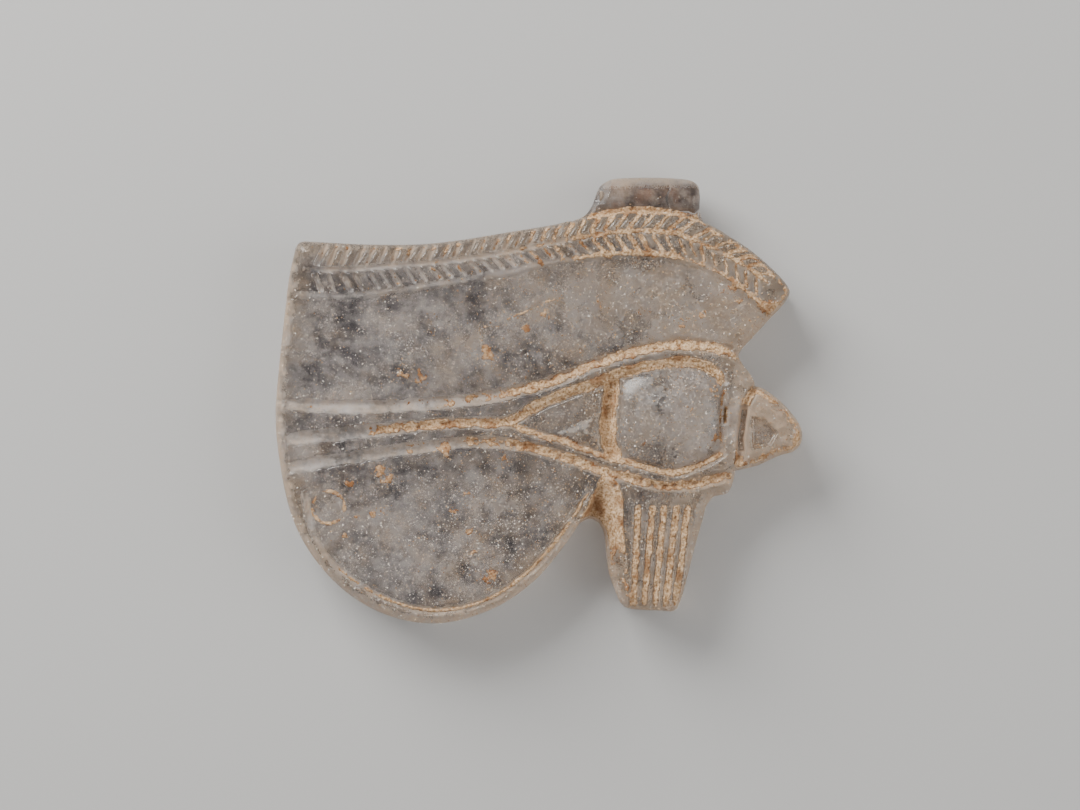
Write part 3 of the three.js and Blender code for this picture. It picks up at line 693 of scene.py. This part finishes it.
def wear(spots, here):
    """How frosted the front is at each spot, from 0 for polished to 1 for freshly ground."""
    ragged = 0.6 * noise(spots, 0.5, 40) + 0.4 * noise(spots, 0.22, 42)
    streaks = noise(spots * (0.22, 1), 0.16, 43)
    frost = ease(here.cut + 0.07 * ragged, 0.0, 0.3) * (0.85 + 0.3 * streaks + 0.2 * ragged)
    rim_band = ease(1.15 - here.rim + 0.5 * ragged, 0, 1.1) * (0.75 + 0.35 * ragged)
    rim_band *= 1 - 0.55 * ease(here.beyond + 1.9, 0, 0.4)
    frost = np.maximum(frost, rim_band * (here.beyond < 0.2))
    fresh = 0.35 + 0.5 * rise(spots[:, 1], -32, -22)
    frost = np.maximum(frost, here.recess * (fresh + 0.3 * ragged))
    frost = np.maximum(frost, (0.3 + 0.7 * ragged) * here.corner)
    duct_rim = np.maximum(on_collar(spots, here), here.duct & ~here.facet)
    frost = np.maximum(frost, (0.55 + 0.7 * ragged) * duct_rim)
    brow = ease(here.beyond + 1.9, 0, 0.5) * (here.beyond < 0)
    frost = np.maximum(frost, brow * (0.08 + 0.45 * ragged))
    duller = 0.27 * rise(spots[:, 0], -4, 30) * (0.8 + 0.8 * noise(spots, 1.4, 64))
    frost = np.clip(np.maximum(frost, 0.08 + 0.1 * ragged + duller * (1 - here.facet)), 0, 1)
    tube_frost = 0.12 + 0.4 * ease(spots[:, 1], TUBE_Y + 0.2 * TUBE_RADIUS, TUBE_Y + 0.8 * TUBE_RADIUS)
    return np.where(here.beyond > 0.3, tube_frost, frost)


placed = points_of(stone)
plan = placed[:, :2]
here = front(plan)
on_front, on_back = placed[:, 2] > here.height - 0.12, placed[:, 2] < 0.1
towards_right = rise(plan[:, 0], -34, 20)
wall_frost = 0.48 + 0.2 * noise(np.column_stack([plan[:, 0] - plan[:, 1], placed[:, 2]]), 3, 45)
frost = np.where(on_front, wear(plan, here), np.where(on_back, 0.25, np.clip(wall_frost, 0.36, 0.6)))
stain = (0.2 + 0.32 * towards_right + 0.15 * frost + 0.35 * frost * towards_right
         + 0.75 * ease(2.2 - here.rim, 0, 2.1) + 0.3 * towards_right * (here.beyond > -2)
         + 0.3 * noise(plan, 3.5, 41)) * np.where(on_front, 1, 0.35)
stain += 0.3 * (here.duct & ~here.facet)
stain -= 0.3 * ease(1.35 - np.hypot(*((plan - EYEBALL) / 4).T), 0, 0.4)
tube_top = 0.15 + 1.0 * ease(plan[:, 1], TUBE_Y + 0.3 * TUBE_RADIUS, TUBE_Y + TUBE_RADIUS)
stain = np.where(here.beyond > 0.3, tube_top, stain)
store(stone, "frost", frost)
store(stone, "stain", np.clip(stain, 0, 1))
store(stone, "haze", haze_at(plan) * on_front * (here.beyond < 0))
stone.data.shade_smooth()
print("mean frost", frost.mean().round(3), "mean stain", np.clip(stain, 0, 1).mean().round(3))

# %% [markdown]
# ## Rock crystal, polished and frosted
# Quartz is clear, with an index of refraction of 1.54, and those are plain values on the shader. The
# polished fields and the ground furrows are the same stone, but a ground surface scatters light, so
# it gets a finish of its own with a rough skin. Colour and roughness drift by noise and by the wear
# stored above. A glass shader alone would be too clean for a stone that was buried.

# %% Steps of a node tree
def feed(tree, socket, value):
    """Link the value to a socket, or set it there when it is a number, a vector or a colour."""
    if isinstance(value, bpy.types.NodeSocket):
        tree.links.new(value, socket)
    else:
        socket.default_value = (*value, 1) if socket.type == "RGBA" else value


def grow(tree, kind, inputs, **settings):
    """A new node with its settings made and its inputs fed."""
    node = tree.nodes.new(kind)
    for name, value in settings.items():
        setattr(node, name, value)
    for label, value in inputs.items():
        feed(tree, node.inputs[label], value)
    return node


class Shading:
    """A finish in the making, with the few kinds of step that the finishes below share."""

    def __init__(self, name):
        self.finish = bpy.data.materials.new(name)
        self.finish.use_nodes = True
        self.tree = self.finish.node_tree
        self.shader = self.tree.nodes["Principled BSDF"]

    def step(self, kind, inputs, **settings):
        return grow(self.tree, "ShaderNode" + kind, inputs, **settings)

    def cloud(self, scale, octaves, roughness=0.5):
        place = self.step("TexCoord", {}).outputs["Object"]
        return self.step("TexNoise", {"Vector": place, "Scale": scale, "Detail": octaves,
                                      "Roughness": roughness}).outputs["Fac"]

    def layer(self, name):
        return self.step("Attribute", {}, attribute_name=name).outputs["Fac"]

    def scaled(self, value, times, plus=0.0):
        return self.step("Math", {0: value, 1: times, 2: plus}, operation="MULTIPLY_ADD").outputs[0]

    def mapped(self, value, from_ends, to_ends):
        ends = dict(zip(("From Min", "From Max", "To Min", "To Max"), (*from_ends, *to_ends)))
        return self.step("MapRange", {"Value": value, **ends}).outputs[0]

    def blend(self, share, first, second):
        return self.step("Mix", {0: share, 6: first, 7: second}, data_type="RGBA").outputs[2]

    def finished(self, skin, strength, distance, inputs):
        """Feed the shader, roughen its skin, and return the finish."""
        bump = self.step("Bump", {"Height": skin, "Strength": strength, "Distance": distance})
        for label, value in {**inputs, "Normal": bump.outputs["Normal"]}.items():
            feed(self.tree, self.shader.inputs[label], value)
        return self.finish


# %% Crystal finishes
QUARTZ_IOR = 1.54
MILKY = (0.95, 0.91, 0.90)


def crystal(name, dark, pale, tan, mottle, smoothest, roughest, transmission, bump):
    """Clear quartz, mottled from dark to pale, tan where it is stained and milky where it is dull."""
    made = Shading(name)
    dull = made.layer("haze")
    paler = made.scaled(made.cloud(260, 5, 0.65), 3.6, made.scaled(dull, 0.9))
    mottled = made.scaled(made.scaled(made.cloud(mottle, 8, 0.65), 3.6, -3.1), 1.0, paler)
    grey = made.blend(made.scaled(dull, 0.6), made.blend(mottled, dark, pale), MILKY)
    stained = made.scaled(made.layer("stain"), 1.15)
    tan_share = made.scaled(made.scaled(made.cloud(700, 8, 0.65), 3.0, -1.65), 1.0, stained)
    scuff = made.cloud(1800, 6, 0.65)
    duller = made.scaled(dull, 0.35, made.layer("frost"))
    rough = made.mapped(made.scaled(scuff, 0.55, duller), (0.15, 1.0), (smoothest, roughest))
    return made.finished(scuff, bump, 0.00003, {
        "Base Color": made.blend(tan_share, grey, tan), "Roughness": rough,
        "Transmission Weight": transmission, "IOR": QUARTZ_IOR})


FINISHES = [
    crystal("polished_crystal", (0.20, 0.19, 0.21), (0.96, 0.92, 0.91), (0.90, 0.72, 0.55), 1100,
            0.07, 0.4, 0.93, 0.2),
    crystal("dulled_crystal", (0.24, 0.23, 0.25), (0.94, 0.89, 0.87), (0.90, 0.72, 0.56), 1500,
            0.16, 0.45, 0.80, 0.45),
    crystal("frosted_crystal", (0.26, 0.25, 0.25), (0.84, 0.78, 0.74), (0.84, 0.65, 0.49), 2600,
            0.3, 0.75, 0.66, 0.9),
]
FROST_STEPS = (0.33, 0.62)
DITHER = 0.14
for finish in FINISHES:
    stone.data.materials.append(finish)
corners = np.empty(len(stone.data.loops), int)
stone.data.loops.foreach_get("vertex_index", corners)
starts = np.empty(len(stone.data.polygons), int)
stone.data.polygons.foreach_get("loop_start", starts)
corners = corners[starts[:, None] + np.arange(3)]
face_frost = frost[corners].sum(1) / 3
spread = np.random.default_rng(SEED).uniform(-DITHER, DITHER, len(face_frost))
face_frost += on_front[corners].all(1) * spread
face_finish = np.digitize(face_frost, FROST_STEPS).astype(np.int32)
stone.data.polygons.foreach_set("material_index", face_finish)
stone.data.update()

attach(stone, "root")
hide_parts(NODE)
print("faces by finish", np.bincount(face_finish))

# %% [markdown]
# ## Soil caked in the cuts
# The soil is opaque and lies on the stone, so it is a piece of its own and not a colour of the
# crystal. It is a thin closed crust over the triangles of the front where a soil measure is high: in
# the furrows, more to the right, and in a few patches on the fields. At its borders it sinks just
# below the surface, so its edge is ragged and shows through the stone as on the real one, and there
# it is rusty. A dark grey sleeve, coloured as soil, lines the bore from each of its mouths. It is
# painted shade: it gives the darker band that the bore shows through the tube.

# %% Soil crust
LINE_NAMES = list(LINES)


def bore_shade_sleeve(name, x_from, x_to, sides=32, rows=24):
    """A ragged closed sleeve against the wall of the bore, coloured as dark soil: painted shade for the
    darker band that the bore shows through the tube.
    """
    turns = np.linspace(0, 2 * math.pi, sides, endpoint=False)
    rings = []
    for k in range(2 * rows):
        outer = k < rows
        share = k / (rows - 1) if outer else (2 * rows - 1 - k) / (rows - 1)
        spots_here = np.column_stack([turns * BORE_RADIUS, np.full(sides, 4 * share + x_from)])
        inner = -0.1 * (1 - share) + 0.05 * noise(spots_here, 0.4, 56)
        x = np.full(sides, x_from + (x_to - x_from) * share) + 0.15 * share * np.sin(3 * turns)
        rings.append(np.column_stack([x, bore_circle(BORE_RADIUS + (0.03 if outer else inner), sides)]))
    here, then = np.arange(sides), np.roll(np.arange(sides), -1)
    triangles = []
    for k in range(2 * rows):
        a, b = k * sides, (k + 1) % (2 * rows) * sides
        triangles += [np.column_stack([a + here, b + here, b + then]),
                      np.column_stack([a + here, b + then, a + then])]
    triangles = np.vstack(triangles)
    return mesh_object(name, np.vstack(rings), triangles[:, ::-1] if x_to > x_from else triangles)


def patch_share(spots, reach):
    """How strongly each spot belongs to a patch of soil on the polished fields."""
    share = np.zeros(len(spots))
    for px, py, radius, strength in PATCHES:
        gap = np.hypot(*(spots - at(px, py)).T) / radius
        share = np.maximum(share, (strength + 0.1) * np.clip(reach - gap, 0, 1))
    return share


def soil_measure(spots, here):
    """Above 0 where soil lies on the front."""
    x, y = spots.T
    right = rise(x, -42, 16)
    filled = np.clip(here.cut / 0.4, 0, 1)
    fine_noise = 0.34 * noise(spots, 0.75, 50) + 0.5 * noise(spots, 0.26, 51) + 0.14 * noise(spots, 3.2, 52)

    def on(name):
        return (here.line == LINE_NAMES.index(name)) * filled

    measure = filled * (0.3 + 0.62 * right) - 0.62
    measure += 0.5 * on("middle") * rise(x, -33.5, -31)
    measure += 0.7 * on("iris_left") + 0.4 * on("duct") + 0.3 * on("lower_branch") + 0.25 * on("iris_right")
    measure += 0.15 * (on("upper") + on("lower")) * rise(x, -20, -5)
    measure += 0.45 * on("brow_foot") * rise(x, 2, 8) * ease(mm_of(30) - x, 0, 4)
    seam = nearest(smooth_line(LOBE_RIM, 0.3), spots)[0]
    measure += 1.3 * on("rim") * ease(0.2 - seam, 0, 0.1) * rise(x, -41, -36)

    brow = (y > level(y_foot, x) - 0.1) & (here.beyond < 0.1)
    outer = ease(0.75 - here.rim, 0, 0.5) * (here.beyond < 0)
    dirt = 0.1 + 0.12 * (here.beyond > -1.7) + 0.44 * rise(x, 3, 10)
    measure += brow * dirt * (0.45 + 0.75 * filled + 0.7 * outer)
    measure += 0.95 * ease(0.4 - np.abs(here.beyond - 0.1), 0, 0.2) * (x > mm_of(9)) * (x < mm_of(31))
    measure += here.duct * (0.24 + 0.45 * ease(1.1 - here.rim, 0, 0.7)) * ~here.facet
    measure += 0.14 * rise(x, 20, 36) * ease(0.8 - here.rim, 0, 0.6)

    bar = (x > mm_of(14.5)) & (y < mm_of(-18.5))
    measure += bar * 0.8 * filled
    measure += bar * 0.35 * (y > mm_of(-22)) * (0.4 + filled)
    measure += here.recess * (0.32 + 0.85 * rise(y, -42, -19))
    measure += 0.35 * here.corner + 0.3 * on_collar(spots, here)
    measure += patch_share(spots, 1.35) * (1.15 + noise(spots, 0.34, 55))
    measure += 0.8 * ease(0.22 - nearest(CRACK, spots)[0], 0, 0.2)
    ring_gap = np.abs(np.hypot(*(spots - RING_MARK).T) - RING_RADIUS)
    measure += 1.15 * ease(0.26 - ring_gap, 0, 0.15) * (0.85 + 0.7 * noise(spots, 1.1, 54))
    return measure + fine_noise


def sides_of(triangles):
    """The three directed sides of each triangle."""
    return np.vstack([triangles[:, [0, 1]], triangles[:, [1, 2]], triangles[:, [2, 0]]])


def crust(name, spots, triangles, base, thick, keep, sunk):
    """A closed thin shell over the kept triangles, from sunk below the base to thick above it."""
    chosen = triangles[keep[triangles].all(1)]
    pinched = [0]
    while len(pinched):
        a, b = sides_of(chosen).T
        lone = ~np.isin(a * len(spots) + b, b * len(spots) + a)
        starts, times = np.unique(a[lone], return_counts=True)
        pinched = starts[times > 1]
        chosen = chosen[~np.isin(chosen, pinched).any(1)]
    used, flat = np.unique(chosen, return_inverse=True)
    chosen = flat.reshape(-1, 3)
    n = len(used)
    top = np.column_stack([spots[used], (base + thick)[used]])
    bottom = np.column_stack([spots[used], (base - sunk)[used]])
    a, b = sides_of(chosen).T
    lone = ~np.isin(a * n + b, b * n + a)
    a, b = a[lone], b[lone]
    walls = np.vstack([np.column_stack([a, a + n, b + n]), np.column_stack([a, b + n, b])])
    return mesh_object(name, np.vstack([top, bottom]), np.vstack([chosen, chosen[:, ::-1] + n, walls]))


soil = soil_measure(spots, carved)
slot_gap, _, _ = nearest(slot_line, spots)
deepest = 0.05 + 0.12 * np.clip(carved.cut / 0.3 + carved.recess, 0, 1)
thick = deepest * ease(soil, 0.0, 0.5) - 0.03 * (soil < 0.08) + 0.025 * noise(spots, 0.22, 53)
thick = np.clip(thick, -0.035, 0.2)
lies = (soil > -0.02) & (carved.rim > 0.12) & (slot_gap > 0.34)
soil_crust = crust("soil_crust", spots, faces, height, thick, lies, 0.06)
soil_crust.data.shade_smooth()
soil_plan = points_of(soil_crust)[:, :2]
borders = ease(0.36 - soil_measure(soil_plan, front(soil_plan)), 0, 0.36)
store(soil_crust, "edge", borders + 0.6 * patch_share(soil_plan, 1.5))
print("soil triangles", len(soil_crust.data.polygons))


# %% Soil finishes and the lining of the bore
def dry_soil(name, dark, tan, pale, scale, rust=(0.28, 0.13, 0.055)):
    """Matt soil that runs from dark to pale in small clouds, rusty in patches and at its edges."""
    made = Shading(name)
    ramp = made.step("ValToRGB", {"Fac": made.cloud(scale, 8, 0.7)})
    for stop, place, colour in zip(ramp.color_ramp.elements, (0.38, 0.61), (dark, pale)):
        stop.position, stop.color = place, (*colour, 1)
    ramp.color_ramp.elements.new(0.48).color = (*tan, 1)
    patchy = made.mapped(made.cloud(800, 6), (0.52, 0.66), (0, 0.7))
    rusty = made.scaled(made.layer("edge"), 0.8, patchy)
    return made.finished(made.cloud(9 * scale, 3), 0.7, 0.00005, {
        "Base Color": made.blend(rusty, ramp.outputs["Color"], rust), "Roughness": 0.92,
        "Specular IOR Level": 0.25})


burial_soil = dry_soil("burial_soil", (0.25, 0.13, 0.06), (0.58, 0.385, 0.215), (0.86, 0.66, 0.46), 5600)
soil_crust.data.materials.append(burial_soil)
# The sleeve in the bore is painted shade: dark grey soil colour, so that the tube shows a darker band down
# its middle.
painted_bore_shade = dry_soil("painted_bore_shade", (0.16, 0.11, 0.08), (0.27, 0.21, 0.16), (0.42, 0.36, 0.31), 900)
mouths = [bore_shade_sleeve("left_mouth_painted_shade", mm_of(11.6), mm_of(24.4)),
          bore_shade_sleeve("right_mouth_painted_shade", mm_of(30.3), mm_of(24.8))]
for piece in mouths:
    piece.data.materials.append(painted_bore_shade)
for piece in (soil_crust, *mouths):
    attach(piece, "root")
print("corners in one lining", len(mouths[0].data.vertices))

# %% [markdown]
# ## Grains by the thousand
# Dust and rust lie on the polished fields, and crumbs lie on the soil. Whitish veils hang in the
# stone just under its front, and a cloudy film of fine soil lies against its back and shows through.
# All of these are grains by the thousand, which is what Geometry Nodes are for: points are scattered
# over a surface, thicker where a stored layer says so, and a small rough chip is placed on each. The
# seed is fixed and the result is made a plain mesh. The film could be painted on the front, but then
# it would not shift against the carving as the eye moves. A film of grains also has soft borders,
# where a solid patch would have hard ones.

# %% Scatter tree
LEAST_FACING_UP = 0.3
LAYERS = ("frost", "stain", "haze", "edge", "dusting", "rusting", "clouding")
GRAIN_INPUTS = (
    ("Most Grains per Square Metre", "NodeSocketFloat", 1e6),
    ("Density Layer", "NodeSocketString", "dusting"),
    ("Grain Radius", "NodeSocketFloat", 0.00004),
    ("Grain Sides", "NodeSocketInt", 3),
    ("Least Facing Up", "NodeSocketFloat", LEAST_FACING_UP),
    ("Seed", "NodeSocketInt", SEED),
)


def grain_tree():
    """A node group that scatters chips over a surface, thick where one of its layers says so."""
    tree = bpy.data.node_groups.new("scattered_grains", "GeometryNodeTree")
    panel = tree.interface.new_socket
    panel("Geometry", in_out="INPUT", socket_type="NodeSocketGeometry")
    for name, kind, value in GRAIN_INPUTS:
        panel(name, in_out="INPUT", socket_type=kind).default_value = value
    panel("Finish", in_out="INPUT", socket_type="NodeSocketMaterial")
    panel("Geometry", in_out="OUTPUT", socket_type="NodeSocketGeometry")

    def add(kind, inputs, **settings):
        return grow(tree, kind, inputs, **settings).outputs

    given = add("NodeGroupInput", {})
    split = add("ShaderNodeSeparateXYZ", {0: add("GeometryNodeInputNormal", {})[0]})
    above = add("FunctionNodeCompare", {0: split["Z"], 1: given["Least Facing Up"]})
    layer = add("GeometryNodeInputNamedAttribute", {"Name": given["Density Layer"]}, data_type="FLOAT")
    density = add("ShaderNodeMath", {0: layer["Attribute"], 1: given["Most Grains per Square Metre"]},
                  operation="MULTIPLY")
    points = add("GeometryNodeDistributePointsOnFaces", {
        "Mesh": given["Geometry"], "Selection": above[0], "Density": density[0], "Seed": given["Seed"]})
    height = add("ShaderNodeMath", {0: given["Grain Radius"], 1: 1.3}, operation="MULTIPLY")
    grain = add("GeometryNodeMeshCone", {
        "Vertices": given["Grain Sides"], "Radius Bottom": given["Grain Radius"], "Depth": height[0]})
    # Most grains stay near the given radius, and a lucky few grow to twice that.
    rare = add("ShaderNodeMath", {0: add("FunctionNodeRandomValue", {})[1], 1: 4.0}, operation="POWER")
    growth = add("ShaderNodeMath", {0: rare[0], 1: 1.5, 2: 0.7}, operation="MULTIPLY_ADD")
    size = add("FunctionNodeRandomValue", {
        0: (0.5, 0.5, 0.4), 1: (1.1, 1.0, 0.8), "Seed": given["Seed"]}, data_type="FLOAT_VECTOR")
    grown = add("ShaderNodeVectorMath", {0: size[0], "Scale": growth[0]}, operation="SCALE")
    turn = add("FunctionNodeRandomValue", {1: (math.tau,) * 3}, data_type="FLOAT_VECTOR")
    placed = add("GeometryNodeInstanceOnPoints", {
        "Points": points["Points"], "Instance": grain["Mesh"], "Scale": grown[0], "Rotation": turn[0]})
    real = add("GeometryNodeRealizeInstances", {"Geometry": placed["Instances"]})
    paint = add("GeometryNodeSetMaterial", {"Geometry": real["Geometry"], "Material": given["Finish"]})
    add("NodeGroupOutput", {"Geometry": paint["Geometry"]})
    return tree


GRAINS = grain_tree()
print("nodes in the scatter tree", len(GRAINS.nodes))


# %% Scattering one kind of grain
def scatter(name, surface, layer, density, radius, sides, seed, finish):
    """Grains over a surface as a plain piece. The density is per square metre, the radius in mm."""
    piece = bpy.data.objects.new(name, surface.data.copy())
    bpy.context.scene.collection.objects.link(piece)
    step = piece.modifiers.new("grains", "NODES")
    step.node_group = GRAINS
    sockets = {item.name: item.identifier for item in GRAINS.interface.items_tree
               if item.in_out == "INPUT"}
    values = (density, layer, radius * MM, sides, LEAST_FACING_UP, seed, finish)
    for label, value in zip([row[0] for row in GRAIN_INPUTS] + ["Finish"], values):
        step[sockets[label]] = value
    baked(piece)
    for extra in [a.name for a in piece.data.attributes if a.name in LAYERS]:
        piece.data.attributes.remove(piece.data.attributes[extra])
    piece.data.materials.append(finish)
    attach(piece, "root")
    print(name, "triangles", sum(len(f.vertices) - 2 for f in piece.data.polygons))


# %% Dust, rust and crumbs on the front
lobe = rise(-plan[:, 1], 10, 24) * (plan[:, 0] < mm_of(10))
off_tube = (1 - 0.8 * (here.beyond > 0)) * (1 - 0.6 * (here.beyond > -3)) * (placed[:, 2] > 1)
off_tube *= nearest(slot_line, plan)[0] > 0.5
dusting = 0.32 + 0.35 * lobe + 0.1 * towards_right
dusting += 0.5 * noise(plan, 1.6, 70) + 0.25 * noise(plan, 0.5, 71)
rusting = 0.06 + 0.55 * towards_right + 0.2 * noise(plan, 0.5, 74)
rusting += 0.7 * noise(plan, 1.3, 72) * noise(plan, 3.1, 73)
rusting += 0.85 * patch_share(plan, 1.9)
rusting += 0.7 * ease(0.7 - nearest(CRACK, plan)[0], 0, 0.6) + 0.3 * here.duct + 0.2 * (here.beyond > -1.9)
store(stone, "dusting", np.clip(dusting, 0.04, 1) * off_tube)
store(stone, "rusting", np.clip(rusting, 0, 1) * off_tube)
store(soil_crust, "dusting", np.ones(len(soil_crust.data.vertices)))

pale_dust = dry_soil("pale_dust", (0.62, 0.52, 0.42), (0.82, 0.77, 0.70), (0.92, 0.90, 0.87), 2500,
                     rust=(0.66, 0.50, 0.36))
scatter("dust_grains", stone, "dusting", 3e7, 0.06, 3, SEED, pale_dust)
scatter("rust_grains", stone, "rusting", 3e7, 0.06, 3, SEED + 2, burial_soil)
scatter("soil_crumbs", soil_crust, "dusting", 4e7, 0.06, 4, SEED + 1, burial_soil)

# %% Cloudy film on the back, and veils in the stone
SHEET_STEP = 0.3
FILM_Z = 0.25
VEIL_DEPTH = 0.8

sheet_spots = hex_grid(SHEET_STEP, low, high)
sheet_spots = sheet_spots[inside(ring, sheet_spots)]
sheet_spots = sheet_spots[nearest(closed_ring, sheet_spots)[0] > 0.5]
sheet_made = geometry.delaunay_2d_cdt([Vector(v) for v in sheet_spots], [], [], 0, 1e-7)
sheet_spots = np.array([tuple(v) for v in sheet_made[0]])
sheet_faces = np.array([tuple(f) for f in sheet_made[2]])
sides = sheet_spots[sheet_faces] - sheet_spots[np.roll(sheet_faces, 1, 1)]
sheet_faces = sheet_faces[np.linalg.norm(sides, axis=2).max(1) < 2 * SHEET_STEP]
sheet_rim = nearest(closed_ring, sheet_spots)[0]
sheet_here = front(sheet_spots)
clouding = haze_at(sheet_spots) * (sheet_here.beyond < -0.3)


def cloud_of_grains(name, z, share, density, radius, seed, finish):
    """Grains around a hidden sheet, dense where the share is high. The sheet itself is taken away."""
    sheet = mesh_object("hidden_sheet", np.column_stack([sheet_spots, z]), sheet_faces)
    store(sheet, "clouding", share)
    scatter(name, sheet, "clouding", density, radius, 3, seed, finish)
    bpy.data.objects.remove(sheet)


dull_film = dry_soil("dull_film", (0.55, 0.44, 0.34), (0.72, 0.66, 0.60), (0.88, 0.86, 0.85), 500,
                     rust=(0.60, 0.42, 0.28))
cloud_of_grains("back_film", np.full(len(sheet_spots), FILM_Z), clouding, 7e7, 0.09, SEED + 3, dull_film)
veil_white = dry_soil("veil_white", (0.80, 0.74, 0.70), (0.88, 0.85, 0.83), (0.93, 0.91, 0.91), 500,
                      rust=(0.80, 0.66, 0.54))
veil_share = clouding**1.6 * (0.55 + 0.6 * rise(sheet_spots[:, 0], -10, 30))
veil_share *= ease(sheet_rim, 1.2, 2) * ~sheet_here.recess
cloud_of_grains("inner_veils", sheet_here.height - VEIL_DEPTH + 0.3 * noise(sheet_spots, 2, 64, 2),
                veil_share, 1.5e8, 0.06, SEED + 4, veil_white)

# %% [markdown]
# ## Floor, light and camera
# The amulet lies on its back on a pale floor, and the camera looks straight down on its carved face,
# as in the reference. A long lens from above keeps the outline true. One broad soft light comes from
# the upper left and a weaker one from the right, so that the furrows read.

# %% Floor
REACH = 0.6
JUST_BELOW = 0.00002
floor_mesh = bpy.data.meshes.new("floor")
floor_mesh.from_pydata([(-REACH, -REACH, 0), (REACH, -REACH, 0), (REACH, REACH, 0), (-REACH, REACH, 0)],
                       [], [(0, 1, 2, 3)])
floor = bpy.data.objects.new("floor", floor_mesh)
floor.location.z = -JUST_BELOW
bpy.context.scene.collection.objects.link(floor)
matt = Shading("pale_floor")
matt.shader.inputs["Base Color"].default_value = (0.53, 0.54, 0.55, 1)
matt.shader.inputs["Roughness"].default_value = 0.9
floor_mesh.materials.append(matt.finish)

# %% Light
world = bpy.data.worlds.new("studio")
world.use_nodes = True
world.node_tree.nodes["Background"].inputs["Color"].default_value = (1, 0.97, 0.94, 1)
world.node_tree.nodes["Background"].inputs["Strength"].default_value = 0.48
bpy.context.scene.world = world


def soft_light(name, place, size, power):
    lamp = bpy.data.lights.new(name, "AREA")
    lamp.size, lamp.energy, lamp.color = size, power, (1, 0.965, 0.91)
    light = bpy.data.objects.new(name, lamp)
    light.location = place
    light.rotation_euler = (-Vector(place)).to_track_quat("-Z", "Y").to_euler()
    bpy.context.scene.collection.objects.link(light)


soft_light("key", (-0.17, 0.2, 0.16), 0.2, 1.55)
soft_light("fill", (0.3, -0.05, 0.18), 0.3, 0.6)

# %% Camera
PHOTO_WIDTH, AMULET_WIDTH = 1080, 530  # in pixels of the reference
AIM_RIGHT, AIM_UP = 1, -5
PIXEL = LENGTH * MM / AMULET_WIDTH
LENS, SENSOR = 100, 36
camera_data = bpy.data.cameras.new("camera")
camera_data.lens, camera_data.sensor_width = LENS, SENSOR
camera_data.clip_start = 0.001
camera = bpy.data.objects.new("camera", camera_data)
distance = PHOTO_WIDTH * PIXEL * LENS / SENSOR
camera.location = (AIM_RIGHT * PIXEL, AIM_UP * PIXEL, distance + THICKNESS * MM)
bpy.context.scene.collection.objects.link(camera)
bpy.context.scene.camera = camera
